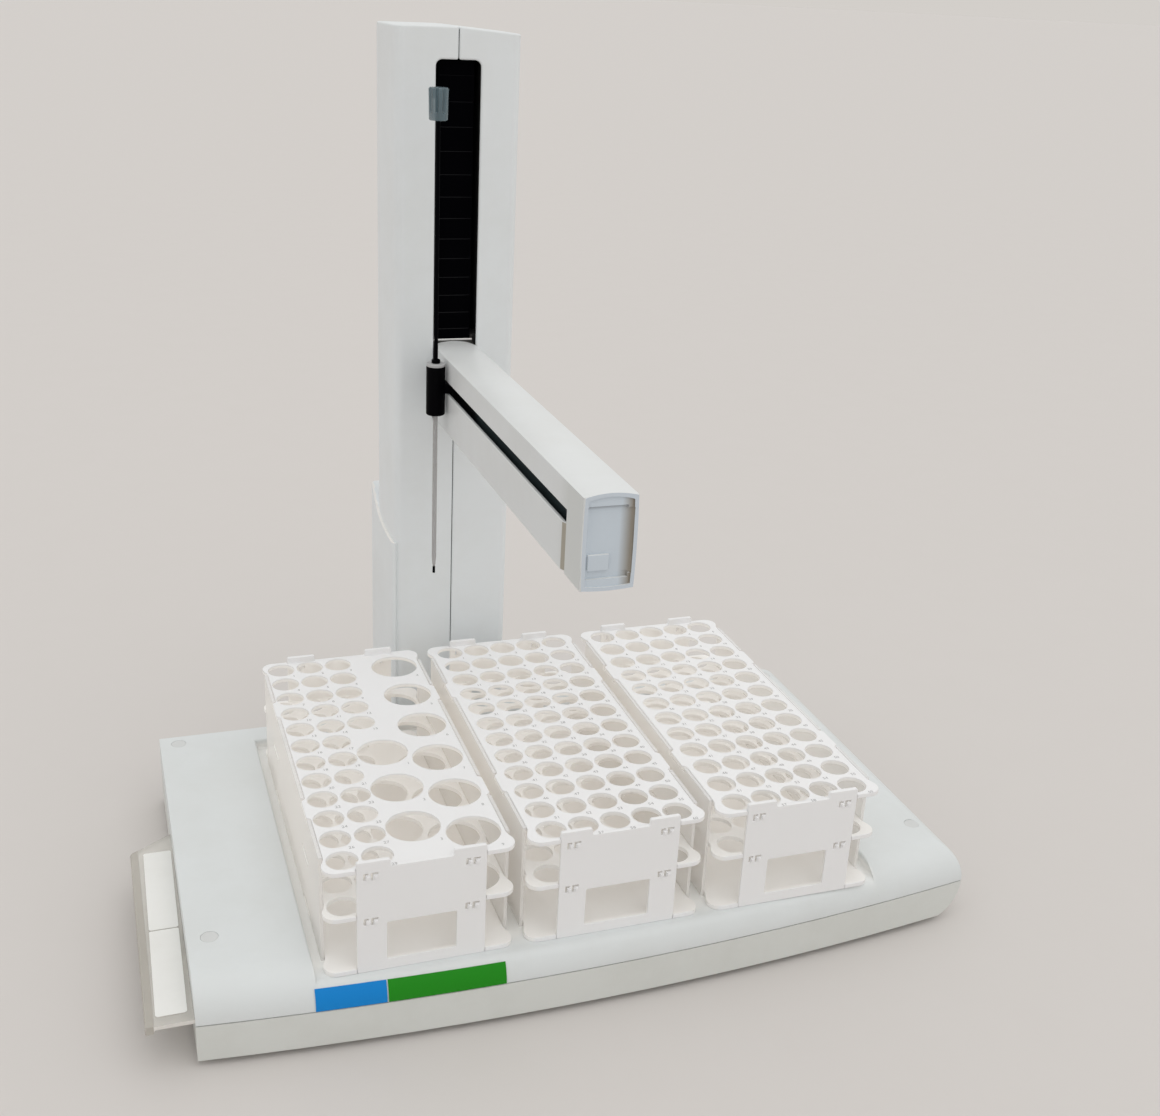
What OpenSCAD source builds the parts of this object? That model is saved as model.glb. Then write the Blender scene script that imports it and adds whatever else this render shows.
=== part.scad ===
// Three-axis laboratory autosampler.
// A low bench base carries three flat-pack tube racks. A tower runs left and right along the
// rear of the base, an arm climbs the tower, and a probe carriage runs along the arm.
// Units are millimetres. The origin is on the bench below the centre of the middle rack,
// +X to the right, +Y to the rear and +Z up.

/* [Base] */
// Width of the base
base_w = 466; // [458:1:500]
// Distance from the centre of the racks to the left side
base_left = 231; // [226:1:236]
// Distance from the centre of the racks to the furthest point of the front
front_y = 136; // [132:1:150]
// Radius of the bowed front edge
bow_r = 1900; // [1500:10:3000]
// Place of the bow's middle along the base
bow_x = -30; // [-40:1:0]
// Radius of the deck's rolled right edge
end_roll = 16; // [8:0.5:18]
// Radius of the tray's rounded right side
end_nose = 24; // [23:0.5:28]
// Height of the rubber feet
foot_h = 4; // [3:0.5:10]
// Diameter of the rubber feet
foot_d = 20; // [14:1:26]
// Height of the lower tray, from its bottom edge to the seam
tray_h = 22; // [22:0.5:30]
// Height of the deck cover above the seam
deck_h = 22; // [20:0.5:30]
// Wall of the base mouldings
wall = 3; // [2:0.25:3.5]
// Diameter of the plugs over the deck screws
plug_d = 9.5; // [8:0.25:11]

/* [Racks] */
// Holes across a rack
rack_cols = 5; // [5:1:5]
// Holes along a rack
rack_rows = 12; // [12:1:12]
// Spacing of the holes across
pitch_x = 18.7; // [18:0.1:20]
// Spacing of the holes along
pitch_y = 20.5; // [19:0.1:22]
// Diameter of the tube holes
tube_d = 17; // [12:0.25:17.5]
// Diameter of the large bottle holes
bottle_d = 30; // [26:0.5:31]
// Border from the outer holes to the long edges
rack_edge = 14.6; // [13:0.1:18]
// Height of a rack
rack_h = 65; // [55:1:80]
// Thickness of the rack panels
sheet = 2.6; // [2:0.1:3.5]
// Free space between neighbouring racks
rack_gap = 7.5; // [4:0.5:12]
// Free space between the outer racks and the bay walls
bay_clear = 5.5; // [4:0.5:8]
// Depth of the rack bay below the deck
bay_depth = 7; // [5:0.5:9]
// Width of a rack's end plates
end_w = 70; // [60:1:74]
// Height of the tabs that stand above the top shelf
tab_h = 4; // [3:0.5:7]

/* [Tower] */
// Place of the tower along the base at rest
tower_x = -28.4; // [-60:0.1:0]
// Width of the tower
tower_w = 80; // [76:1:90]
// Depth of the tower
tower_d = 58; // [56:1:70]
// Height of the tower's top above the bench
tower_top = 508; // [480:1:540]
// Fall of the tower's roof from its middle to its sides
roof_fall = 4; // [0:0.5:8]
// Wall of the tower shells
shell_wall = 2.5; // [2:0.25:3]
// Width of the slot that the arm climbs in
slot_w = 28.5; // [28:0.1:30]
// Height of the slot's upper end above the bench
slot_top = 489; // [480:1:495]
// Running gap between the base and the tower
tower_gap = 2; // [1.5:0.25:4]
// Travel of the tower to the left of rest
travel_left = 102; // [60:1:105]
// Travel of the tower to the right of rest
travel_right = 201; // [150:1:203]

/* [Arm] */
// Width of the arm
arm_w = 28; // [27.5:0.1:28]
// Height of the arm at its edges
arm_h = 48; // [46:0.5:52]
// Crown of the arm's top
arm_crown = 2; // [1:0.25:3]
// Height of the arm's underside above the bench at its lowest
arm_low = 264; // [240:1:270]
// Reach of the arm in front of the tower
arm_reach = 299; // [285:1:320]
// Wall of the arm
arm_wall = 2; // [1.5:0.1:2.2]
// Travel of the arm up the tower
arm_travel = 155; // [80:1:158]

/* [Probe] */
// Diameter of the probe holder
holder_d = 12; // [11:0.25:13]
// Length of the probe holder
holder_l = 31.5; // [28:0.5:36]
// Clear gap between the probe holder and the arm
holder_gap = 1; // [0.6:0.1:2]
// Diameter of the probe's support rod
rod_d = 3.7; // [3:0.1:4.5]
// Diameter of the sample tube below the holder
tube_od = 3; // [2:0.1:3.2]
// Height of the probe's tip above the bench at rest
tip_z = 167; // [160:1:180]
// Height of the cap's top above the bench at rest
cap_top = 475; // [440:1:485]
// Diameter of the probe's ribbed cap
cap_d = 12; // [10:0.5:14]
// Height of the probe's ribbed cap
cap_h = 18.5; // [14:0.5:24]

/* [Drives] */
// Diameter of the base's guide rods
rail_d = 10; // [8:0.5:10.5]
// Diameter of the tower's guide rod
z_rod_d = 8; // [6:0.5:9]
// Diameter of the tower's lead screw
screw_d = 8; // [6:0.5:9]
// Diameter of the arm's guide rod
y_rod_d = 6; // [5:0.5:6.5]
// Radius of the base's belt pulleys
x_pulley_r = 7; // [6:0.25:8]
// Radius of the arm's belt pulleys
y_pulley_r = 5; // [4:0.25:5.5]
// Thickness of the drive belts
belt_t = 1.2; // [0.8:0.1:1.5]
// Width of the drive belts
belt_w = 6; // [4:0.5:6.5]
// Radial clearance of a running fit
run_fit = 0.05; // [0.02:0.01:0.1]

/* [Pump] */
// Place of the rinse pump along the left face
pump_y = -40; // [-60:1:0]
// Radius of the pump rotor over its rollers
rotor_r = 8.5; // [7:0.25:8.5]
// Width of the clear guard
guard_w = 25; // [22:0.5:30]
// Length of the clear guard along the base
guard_l = 178; // [150:1:190]
// Thickness of the clear guard
guard_t = 2.5; // [2:0.25:3]

/* [Hidden] */
$fn = 64;
eps = 1;

// Rack sizes and places
rack_w = (rack_cols - 1) * pitch_x + 2 * rack_edge;
rack_over = 1;
rack_l = rack_rows * pitch_y + 2 * rack_over;
rack_step = rack_w + rack_gap;
bay_w = 3 * rack_w + 2 * rack_gap + 2 * bay_clear;
bay_back_gap = 3;
bay_back = rack_l / 2 + bay_back_gap;

// Heights of the base, and its bowed plan
left_x = -base_left;
right_x = base_w - base_left;
seam_z = foot_h + tray_h;
deck_z = seam_z + deck_h;
bay_z = deck_z - bay_depth;
rear_band = 18;
rear_y = bay_back + rear_band;
plan_deep = 600;
bow_y = bow_r - front_y;
bow_angle = atan((right_x - bow_x + 5) / (bow_y - rear_y));
apex_y = -front_y;
floor_z = foot_h + wall;
end_hollow = 12.5;

function front_at(x) = bow_y - sqrt(bow_r * bow_r - pow(x - bow_x, 2));

// Deck screws and feet
screw_in = 12;
screw_end = 17;
screw_front = 81;
screw_rear = rear_y - 10.5;
screw_deep = 12;
screw_hole_d = 4;
plug_pocket = 1.6;
plug_slack = 0.15;
post_r = plug_d / 2 + 0.75;
screw_spots = [for (x = [left_x + screw_in, right_x - screw_end], y = [-screw_front, screw_rear]) [x, y]];
foot_in = 24;
foot_front = 98;
foot_rear = 36;
foot_spots = [for (x = [left_x + foot_in, right_x - foot_in], y = [-foot_front, rear_y - foot_rear]) [x, y]];

// Tower places
tower_front = rear_y + tower_gap;
tower_back = tower_front + tower_d;
tower_half = tower_w / 2;
tower_in = tower_half - shell_wall;
shell_front = tower_front + shell_wall;
shell_back = tower_back - shell_wall;
seam_gap = 0.4;
tower_corner = 8;

// Rods of the base, with the carriage between them
rail_r = rail_d / 2;
rail_rear_y = rear_y - wall - rail_r - 3;
rail_span = 30;
rail_front_y = rail_rear_y - rail_span;
belt_y = (rail_rear_y + rail_front_y) / 2;
rail_z = floor_z + 15;
belt_z = bay_z - wall - 5;
carriage_half = 30;
carriage_low = floor_z + 6;
carriage_top = bay_z - wall - 1.5;
carriage_front = rail_front_y - rail_r - 2;
carriage_rear = rear_y - wall - 1;
tongue_half = 24;
tongue_low = carriage_low + 2;
tongue_top = carriage_top - 7;
tongue_slack = 1.5;
bracket_t = 6;
bracket_top = rail_z + rail_r + 3;
bracket_room = 1;
motor_side = 26;
left_bracket = tower_x - travel_left - carriage_half - bracket_t - 18;
right_bracket = right_x - 18;
drive_x = left_bracket - motor_side / 2 - 1;
idler_x = right_bracket - x_pulley_r - belt_t - 1;
rear_slot_left = tower_x - travel_left - tongue_half - tongue_slack;
rear_slot_right = tower_x + travel_right + tongue_half + tongue_slack;

// Column of the tower
spine_t = 3;
spine_foot = tongue_top;
spine_top = tower_top - roof_fall - shell_wall - 1;
column_y = tower_front + 31;
rod_x = tower_x - 22;
screw_x = tower_x + 22;
z_motor_side = 28;
z_motor_h = 32;
z_motor_low = spine_foot + spine_t;
screw_low = z_motor_low + z_motor_h + 1;
band_y = shell_front + 4.5;
band_t = 1.2;
band_half = 11.5;
band_slack = 0.5;

// Arm section, with the climbing carriage behind it
arm_rear = tower_front - 1.5;
arm_front = tower_front - arm_reach;
arm_left = tower_x - arm_w / 2;
arm_right = tower_x + arm_w / 2;
arm_top = arm_low + arm_h;
crown_r = (pow(arm_w / 2, 2) + arm_crown * arm_crown) / (2 * arm_crown);
slot_low = arm_low - 1.5;
root_top = arm_top + 9;
cap_t = 4;
panel_top = arm_low + 26;
groove_top = panel_top + 8;
panel_front = arm_front + 24;
panel_gap = 1.6;
rail_mid_z = (panel_top + groove_top) / 2;
tongue_in = 17;

// Probe carriage and probe
row_first = (rack_rows - 1) / 2 * pitch_y;
probe_y = row_first;
probe_x = arm_left - holder_gap - holder_d / 2;
holder_low = rail_mid_z - 17.5;
holder_top = holder_low + holder_l;
y_car_half = 8;
arm_band_x = arm_left + arm_wall + 2.7;
arm_band_t = 1;
arm_band_half = 7;
car_left = arm_left + arm_wall + 0.3;
car_right = arm_right - arm_wall - 4;
car_half_h = 9.2;
car_low = rail_mid_z - car_half_h;
car_top = rail_mid_z + car_half_h;
y_belt_z = arm_low + 11;
y_idler_y = arm_front + 15.5;
y_drive_y = arm_rear - 20;
washer_h = 2;
collar_h = 2.4;
collar_r = 2.75;

// Rinse pump on the left face
pump_z = floor_z + 9.5;
pump_face = left_x;
guard_z = seam_z + 1.5;
guard_front = front_at(left_x) + 1.5;
pin_r = 1.5;
rotor_gap = 1;
rotor_t = 3;
roller_r = 2.6;
roller_l = 8;
roller_count = 3;
roller_arm = rotor_r - roller_r;
motor_r = 9;

// Basic shapes
module slab(low, high) {
    translate(low) cube(high - low);
}

module rounded(low, high, r) {
    translate([low.x + r, low.y]) square([high.x - low.x - 2 * r, high.y - low.y]);
    translate([low.x, low.y + r]) square([high.x - low.x, high.y - low.y - 2 * r]);
    for (x = [low.x + r, high.x - r], y = [low.y + r, high.y - r]) translate([x, y]) circle(r);
}

module along_x(x0, x1, y, z) {
    translate([x0, y, z]) rotate([90, 0, 90]) linear_extrude(x1 - x0) children();
}

module along_y(y0, y1, x, z) {
    translate([x, y1, z]) rotate([90, 0, 0]) linear_extrude(y1 - y0) children();
}

module upright(x, y, z0, z1, r) {
    translate([x, y, z0]) cylinder(h = z1 - z0, r = r);
}

// Two pulleys' belt, drawn flat round two centres on the x axis
module belt_loop(x0, x1, r) {
    difference() {
        belt_field(x0, x1, r + belt_t);
        belt_field(x0, x1, r);
    }
}

module belt_field(x0, x1, r) {
    translate([x0, -r]) square([x1 - x0, 2 * r]);
    for (x = [x0, x1]) translate([x, 0]) circle(r);
}

// Sweeps an edge profile along the bowed front. The profile's x is the distance out from the outline
module bow_sweep() {
    translate([bow_x, bow_y, 0]) rotate([0, 0, 270 - bow_angle])
        rotate_extrude(angle = 2 * bow_angle, $fn = 1440) translate([bow_r, 0]) children();
}

// Edge profile with a quarter-round top
module rolled(low, top, roll, out) {
    intersection() {
        union() {
            translate([-plan_deep, low - eps]) square([plan_deep + out, top - roll - low + eps]);
            translate([-plan_deep, low - eps]) square([plan_deep + out - roll, top - low + eps]);
            translate([out - roll, top - roll]) circle(roll, $fn = 96);
        }
        translate([-plan_deep, low]) square([plan_deep + eps, top - low]);
    }
}

// Outer forms of the two base mouldings
module tray_solid() {
    intersection() {
        bow_sweep() translate([-plan_deep, foot_h]) square([plan_deep, tray_h]);
        along_y(apex_y - eps, rear_y, 0, 0) intersection() {
            union() {
                translate([left_x, foot_h]) square([base_w - end_nose, tray_h]);
                translate([right_x - end_nose, seam_z]) circle(end_nose, $fn = 96);
            }
            translate([left_x, foot_h]) square([base_w, tray_h]);
        }
    }
}

module deck_solid() {
    intersection() {
        bow_sweep() rolled(seam_z, deck_z, deck_h, 0);
        along_y(apex_y - eps, rear_y, right_x, 0) intersection() {
            rolled(seam_z, deck_z, end_roll, 0);
            translate([-base_w, 0]) square([base_w, deck_z + eps]);
        }
    }
}

// Space under the deck: its two shoulders, the rear band and the bay's floor
module deck_hollow() {
    low = seam_z - eps;
    in_front = front_at(right_x) + deck_h;
    in_rear = rear_y - wall;
    in_bay = bay_w / 2 + wall;
    slab([left_x + wall, in_front, low], [-in_bay, in_rear, deck_z - wall]);
    slab([in_bay, in_front, low], [right_x - end_roll, in_rear, deck_z - wall]);
    slab([in_bay, in_front, low], [right_x - wall, in_rear, bracket_top + bracket_room]);
    slab([-in_bay - eps, bay_back + wall, low], [in_bay + eps, in_rear, deck_z - wall]);
    slab([-in_bay - eps, in_front, low], [in_bay + eps, in_rear, bay_z - wall]);
}

module rear_slot() {
    slab([rear_slot_left, rear_y - wall - eps, tongue_low - tongue_slack],
        [rear_slot_right, rear_y + eps, tongue_top + tongue_slack]);
}

// Rear connector panel, in its cut-out left of the tower's path
panel_low = [left_x + 8, foot_h + 8];
panel_high = [rear_slot_left - 22, deck_z - 8];
panel_slack = 0.2;
switch_w = 12;
switch_h = 17;
switch_x = panel_high.x - switch_w / 2 - 5;
panel_mid_z = (panel_low[1] + panel_high[1]) / 2;
inlet_r = 4.5;
inlet_x = panel_low.x + 20;

module panel_cut(slack) {
    slab([panel_low.x - slack, rear_y - wall - eps, panel_low[1] - slack],
        [panel_high.x + slack, rear_y + eps, panel_high[1] + slack]);
}

// Base
idler_boss_r = 3.5;
standoff_r = 3;
pump_hole_r = motor_r - 3;

module base_tray() color("gainsboro") difference() {
    union() {
        difference() {
            tray_solid();
            slab([left_x + wall, front_at(right_x) + wall, floor_z],
                [right_x - end_hollow, rear_y - wall, seam_z + eps]);
        }
        for (s = screw_spots) upright(s.x, s.y, floor_z - eps, deck_z - wall, post_r);
        for (x = [left_bracket, right_bracket])
            slab([x, carriage_front, floor_z - eps], [x + bracket_t, carriage_rear, bracket_top]);
        upright(idler_x, belt_y, floor_z - eps, belt_z - belt_w / 2 - 1, idler_boss_r);
        upright(idler_x, belt_y, floor_z - eps, belt_z + belt_w / 2 + 1, pin_r);
        for (x = board_x, y = board_y) upright(x, y, floor_z - eps, board_z, standoff_r);
    }
    for (s = screw_spots) upright(s.x, s.y, deck_z - wall - screw_deep, deck_z, screw_hole_d / 2);
    for (y = [rail_front_y, rail_rear_y])
        along_x(left_bracket - eps, right_bracket + bracket_t, y, rail_z) circle(rail_r);
    rear_slot();
    panel_cut(panel_slack);
    along_x(left_x - eps, left_x + wall + eps, pump_y, pump_z) circle(pump_hole_r);
}

module deck_cover() color("whitesmoke") difference() {
    deck_solid();
    slab([-bay_w / 2, apex_y - eps, bay_z], [bay_w / 2, bay_back, deck_z + eps]);
    deck_hollow();
    for (s = screw_spots) {
        upright(s.x, s.y, deck_z - plug_pocket, deck_z + eps, plug_d / 2 + plug_slack);
        upright(s.x, s.y, deck_z - wall - eps, deck_z, screw_hole_d / 2);
        upright(s.x, s.y, seam_z - eps, deck_z - wall, post_r + plug_slack);
    }
    rear_slot();
    panel_cut(panel_slack);
}

module base_feet() color("tan") for (f = foot_spots) upright(f.x, f.y, 0, foot_h, foot_d / 2);

module screw_plugs() color("lightgray") intersection() {
    for (s = screw_spots) upright(s.x, s.y, deck_z - plug_pocket, deck_z + eps, plug_d / 2);
    deck_solid();
}

// Two plain colour blocks that lie on the rolled front edge
badge_from = -bay_w / 2 - 1;
badge_split = badge_from + 38;
badge_to = badge_from + 103;
badge_gap = 0.4;
badge_lift = 0.15;
badge_t = 0.6;
badge_low = seam_z + 1;
badge_high = seam_z + 12.5;

module badge_block(x0, x1) {
    intersection() {
        difference() {
            bow_sweep() rolled(seam_z, deck_z + badge_t, deck_h + badge_t, badge_t);
            bow_sweep() rolled(seam_z - eps, deck_z + badge_lift, deck_h + badge_lift, badge_lift);
        }
        slab([x0, apex_y - eps, badge_low], [x1, front_at(badge_from) + deck_h, badge_high]);
    }
}

module badge_left() color("dodgerblue") badge_block(badge_from, badge_split - badge_gap);

module badge_right() color("forestgreen") badge_block(badge_split + badge_gap, badge_to);

// Rinse pump
module pump_guard() color([0.8, 0.78, 0.72, 0.5]) difference() {
    union() {
        translate([pump_face, 0, guard_z]) linear_extrude(guard_t) polygon([[0, guard_front],
            [-guard_w, guard_front], [-guard_w, guard_front + guard_l - guard_w * 0.7],
            [0, guard_front + guard_l]]);
        slab([pump_face - guard_w, guard_front, guard_z - 6],
            [pump_face - guard_w + guard_t, guard_front + guard_l - guard_w * 0.7, guard_z + guard_t]);
    }
    slab([pump_face - guard_w, guard_front + guard_l - guard_w * 0.7 - 6, guard_z - 7],
        [pump_face - guard_w + guard_t, guard_front + guard_l, guard_z]);
}

module pump_motor() color("dimgray") {
    along_x(pump_face + wall, pump_face + wall + 34, pump_y, pump_z) circle(motor_r);
    along_x(pump_face - rotor_gap - rotor_t - roller_l, pump_face + wall, pump_y, pump_z) circle(pin_r);
}

module pump_track() color("ivory") difference() {
    slab([pump_face - rotor_gap - rotor_t - roller_l - 1, pump_y - rotor_r - 6, foot_h + 1],
        [pump_face, pump_y + rotor_r + 6, pump_z]);
    along_x(pump_face - 40, pump_face - eps * 0.5, pump_y, pump_z) circle(rotor_r + 1.6);
    along_x(pump_face - eps, pump_face + eps, pump_y, pump_z) circle(motor_r - 3);
}

module pump_rotor() color("silver") difference() {
    union() {
        along_x(pump_face - rotor_gap - rotor_t, pump_face - rotor_gap, pump_y, pump_z) circle(rotor_r - 0.6);
        along_x(pump_face - rotor_gap - rotor_t - roller_l, pump_face - rotor_gap, pump_y, pump_z) circle(3);
        for (i = [0 : roller_count - 1]) rotate_about_pump(i * 360 / roller_count)
            along_x(pump_face - rotor_gap - rotor_t - roller_l, pump_face - rotor_gap,
                pump_y + roller_arm, pump_z)
                circle(1);
    }
    along_x(pump_face - 40, pump_face + eps, pump_y, pump_z) circle(pin_r + run_fit);
}

module rotate_about_pump(a) {
    translate([0, pump_y, pump_z]) rotate([a, 0, 0]) translate([0, -pump_y, -pump_z]) children();
}

module pump_rollers() color("white")
    for (i = [0 : roller_count - 1]) rotate_about_pump(i * 360 / roller_count)
        along_x(pump_face - rotor_gap - rotor_t - roller_l, pump_face - rotor_gap - rotor_t,
            pump_y + roller_arm, pump_z) difference() {
                circle(roller_r);
                circle(1);
            }

// Drive along the base
module x_rods() color("silver") for (y = [rail_front_y, rail_rear_y])
    along_x(left_bracket, right_bracket + bracket_t, y, rail_z) circle(rail_r);

module x_motor() color("dimgray") {
    slab([drive_x - motor_side / 2, belt_y - motor_side / 2, floor_z],
        [drive_x + motor_side / 2, belt_y + motor_side / 2, belt_z - belt_w / 2 - 3]);
    upright(drive_x, belt_y, floor_z, belt_z + belt_w / 2 + 1, pin_r);
}

module pulley(r, h, hub) {
    difference() {
        union() {
            cylinder(h = h, r = r);
            for (z = [-hub, h]) translate([0, 0, z]) cylinder(h = hub, r = r + belt_t * 0.6);
        }
        translate([0, 0, -hub - eps]) cylinder(h = h + 2 * hub + 2 * eps, r = pin_r + run_fit);
    }
}

module x_drive_pulley() color("gray") translate([drive_x, belt_y, belt_z - belt_w / 2 - 0.3])
    pulley(x_pulley_r - 0.3, belt_w + 0.6, 0.6);

module x_idler_pulley() color("gray") translate([idler_x, belt_y, belt_z - belt_w / 2 - 0.3])
    pulley(x_pulley_r - 0.3, belt_w + 0.6, 0.6);

module x_belt() color("black") translate([0, belt_y, belt_z - belt_w / 2]) linear_extrude(belt_w)
    belt_loop(drive_x, idler_x, x_pulley_r);

belt_channel = x_pulley_r + belt_t + 1.8;

module x_carriage() color("gray") difference() {
    union() {
        slab([tower_x - carriage_half, carriage_front, carriage_low],
            [tower_x + carriage_half, carriage_rear, carriage_top]);
        slab([tower_x - tongue_half, carriage_rear - eps, tongue_low],
            [tower_x + tongue_half, shell_back, tongue_top]);
    }
    for (y = [rail_front_y, rail_rear_y])
        along_x(tower_x - carriage_half - eps, tower_x + carriage_half + eps, y, rail_z)
            circle(rail_r + run_fit);
    slab([tower_x - carriage_half - eps, belt_y - belt_channel, belt_z - belt_w / 2 - 1.5],
        [tower_x + carriage_half + eps, belt_y + belt_channel, carriage_top + eps]);
}

// Electronics
board_x = [-105, 45];
board_y = [-70, 40];
board_z = floor_z + 5;

module main_board() color("darkgreen") {
    slab([board_x[0] - 5, board_y[0] - 5, board_z], [board_x[1] + 5, board_y[1] + 5, board_z + 1.6]);
    for (i = [0 : 3])
        slab([board_x[0] + 12 + i * 34, -48, board_z + 1.6], [board_x[0] + 32 + i * 34, -28, board_z + 4.6]);
}

module rear_panel() color("dimgray") difference() {
    union() {
        slab([panel_low.x, rear_y - wall, panel_low[1]], [panel_high.x, rear_y, panel_high[1]]);
        along_y(rear_y - wall - 5, rear_y + 1, inlet_x, panel_mid_z) circle(inlet_r + 1.5);
    }
    along_y(rear_y - wall, rear_y + 2, inlet_x, panel_mid_z) circle(inlet_r);
    slab([switch_x - switch_w / 2 - 0.5, rear_y - wall - eps, panel_mid_z - switch_h / 2 - 0.5],
        [switch_x + switch_w / 2 + 0.5, rear_y + eps, panel_mid_z + switch_h / 2 + 0.5]);
}

module power_switch() color("black") intersection() {
    along_x(switch_x - switch_w / 2, switch_x + switch_w / 2, rear_y - 7.5, panel_mid_z) circle(11.5);
    slab([switch_x - switch_w / 2, rear_y - wall, panel_mid_z - switch_h / 2 + 0.7],
        [switch_x + switch_w / 2, rear_y + 8, panel_mid_z + switch_h / 2 - 0.7]);
}

// Tower
module tower_solid(inset, low) {
    intersection() {
        translate([tower_x, 0, low]) linear_extrude(tower_top - low)
            rounded([-tower_half + inset, tower_front + inset], [tower_half - inset, tower_back - inset],
                tower_corner - inset);
        along_y(tower_front - eps, tower_back + eps, tower_x, 0) polygon([[-tower_half, low],
            [tower_half, low], [tower_half, tower_top - roof_fall - inset], [0, tower_top - inset],
            [-tower_half, tower_top - roof_fall - inset]]);
    }
}

slot_corner = 4;

module climb_slot() {
    along_y(tower_front - eps, shell_front + eps, tower_x, 0)
        rounded([-slot_w / 2, slot_low], [slot_w / 2, slot_top], slot_corner);
    slab([tower_x - slot_w / 2, tower_front - eps, slot_low],
        [tower_x + slot_w / 2, shell_front + eps, arm_top]);
}

module tower_shell(side) {
    x0 = side < 0 ? tower_x - tower_half - eps : tower_x + seam_gap / 2;
    x1 = side < 0 ? tower_x - seam_gap / 2 : tower_x + tower_half + eps;
    difference() {
        intersection() {
            tower_solid(0, spine_foot);
            slab([x0, tower_front - eps, spine_foot], [x1, tower_back + eps, tower_top]);
        }
        tower_solid(shell_wall, spine_foot - eps);
        climb_slot();
    }
}

module tower_shell_left() color("whitesmoke") tower_shell(-1);

module tower_shell_right() color("whitesmoke") tower_shell(1);

// Lower rear cover with a curved, forward-falling top edge
boot_t = 3;
boot_back = tower_back + 20;
boot_low = tongue_low - 3;
boot_front_z = 150;
boot_rear_z = 196;
boot_bow_r = 160;
boot_bow_y = tower_front - 66;
boot_bow_z = boot_front_z + 149;
boot_front = tower_front + 6;
boot_rim = 2;

module boot_side(inset) {
    difference() {
        translate([boot_front, boot_low])
            square([boot_back - boot_front - inset, boot_rear_z - boot_low - inset]);
        translate([boot_bow_y, boot_bow_z - inset]) circle(boot_bow_r, $fn = 128);
    }
}

module tower_boot() color("whitesmoke") difference() {
    along_x(tower_x - tower_half - boot_t, tower_x + tower_half + boot_t, 0, 0) boot_side(0);
    along_x(tower_x - tower_half + boot_rim, tower_x + tower_half - boot_rim, 0, 0)
        translate([0, -boot_t]) boot_side(boot_t);
    translate([0, 0, boot_low - eps]) linear_extrude(boot_rear_z) translate([tower_x, 0])
        rounded([-tower_half, tower_front], [tower_half, tower_back], tower_corner);
    slab([tower_x - tower_half - boot_t - eps, 0, 0],
        [tower_x + tower_half + boot_t + eps, boot_front + 0.01, boot_bow_z]);
}

module tower_spine() color("silver") difference() {
    union() {
        slab([tower_x - tower_in, shell_front, spine_foot],
            [tower_x + tower_in, shell_back, spine_foot + spine_t]);
        slab([tower_x - tower_in, shell_back - spine_t, spine_foot],
            [tower_x + tower_in, shell_back, spine_top]);
        slab([tower_x - tower_in, band_y - 2, spine_top - spine_t],
            [tower_x + tower_in, shell_back, spine_top]);
    }
    for (x = [-1, 1]) for (y = [shell_front, shell_back])
        upright(tower_x + x * tower_in, y, spine_foot - eps, spine_top + eps, tower_corner - shell_wall);
    upright(rod_x, column_y, spine_foot - eps, spine_top + eps, z_rod_d / 2);
    upright(screw_x, column_y, spine_top - spine_t - eps, spine_top + eps, screw_d / 2 + run_fit);
    slab([tower_x - band_half, band_y, spine_top - spine_t - eps],
        [tower_x + band_half, band_y + band_t, spine_top + eps]);
}

// Slatted dark band behind the climbing slot
slat_count = 22;
slat_cut = 0.4;
slat_deep = 0.3;

module slot_band() color("black") difference() {
    slab([tower_x - band_half, band_y, spine_foot + spine_t],
        [tower_x + band_half, band_y + band_t, spine_top]);
    for (i = [1 : slat_count - 1]) translate([0, 0, slot_low + i * (slot_top - slot_low) / slat_count])
        slab([tower_x - band_half - eps, band_y - eps, -slat_cut],
            [tower_x + band_half + eps, band_y + slat_deep, slat_cut]);
}

module z_rod() color("silver") upright(rod_x, column_y, spine_foot, spine_top, z_rod_d / 2);

module z_motor() color("dimgray") {
    slab([screw_x - z_motor_side / 2, column_y - z_motor_side / 2, z_motor_low],
        [screw_x + z_motor_side / 2, column_y + z_motor_side / 2, z_motor_low + z_motor_h]);
    upright(screw_x, column_y, z_motor_low, screw_low + 10, pin_r);
}

module z_screw() color("silver") difference() {
    union() {
        upright(screw_x, column_y, screw_low, screw_low + 14, screw_d / 2 + 3);
        upright(screw_x, column_y, screw_low, spine_top, screw_d / 2);
    }
    upright(screw_x, column_y, screw_low - eps, screw_low + 11, pin_r + run_fit);
}

// Climbing carriage: it straddles the dark band and holds the arm's root
car_rear = column_y + 10;
car_half_w = 33;
root_slack = 0.5;
root_tongue_h = 12;
car_low_gap = 2;

module z_carriage() color("gray") difference() {
    union() {
        slab([tower_x - car_half_w, band_y + band_t + band_slack, arm_low + car_low_gap],
            [tower_x + car_half_w, car_rear, root_top]);
        slab([arm_left + root_slack, arm_rear, arm_low + car_low_gap],
            [arm_right - root_slack, car_rear, root_top]);
        slab([arm_left + arm_wall, arm_rear - tongue_in, groove_top - root_tongue_h],
            [arm_right - arm_wall, arm_rear + eps, arm_top - arm_wall]);
    }
    slab([tower_x - band_half - band_slack, band_y - band_slack, arm_low],
        [tower_x + band_half + band_slack, band_y + band_t + band_slack, root_top + eps]);
    upright(rod_x, column_y, arm_low, root_top + eps, z_rod_d / 2 + run_fit);
    upright(screw_x, column_y, arm_low, root_top + eps, screw_d / 2 + 0.3);
    along_y(arm_rear - tongue_in - eps, arm_rear - tongue_in + 8, tower_x, rail_mid_z) circle(y_rod_d / 2);
    slab([arm_band_x - 0.5, arm_rear - tongue_in - eps, rail_mid_z - arm_band_half - 0.5],
        [arm_band_x + arm_band_t + 0.5, arm_rear - tongue_in + 4, rail_mid_z + arm_band_half + 0.5]);
}

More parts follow.
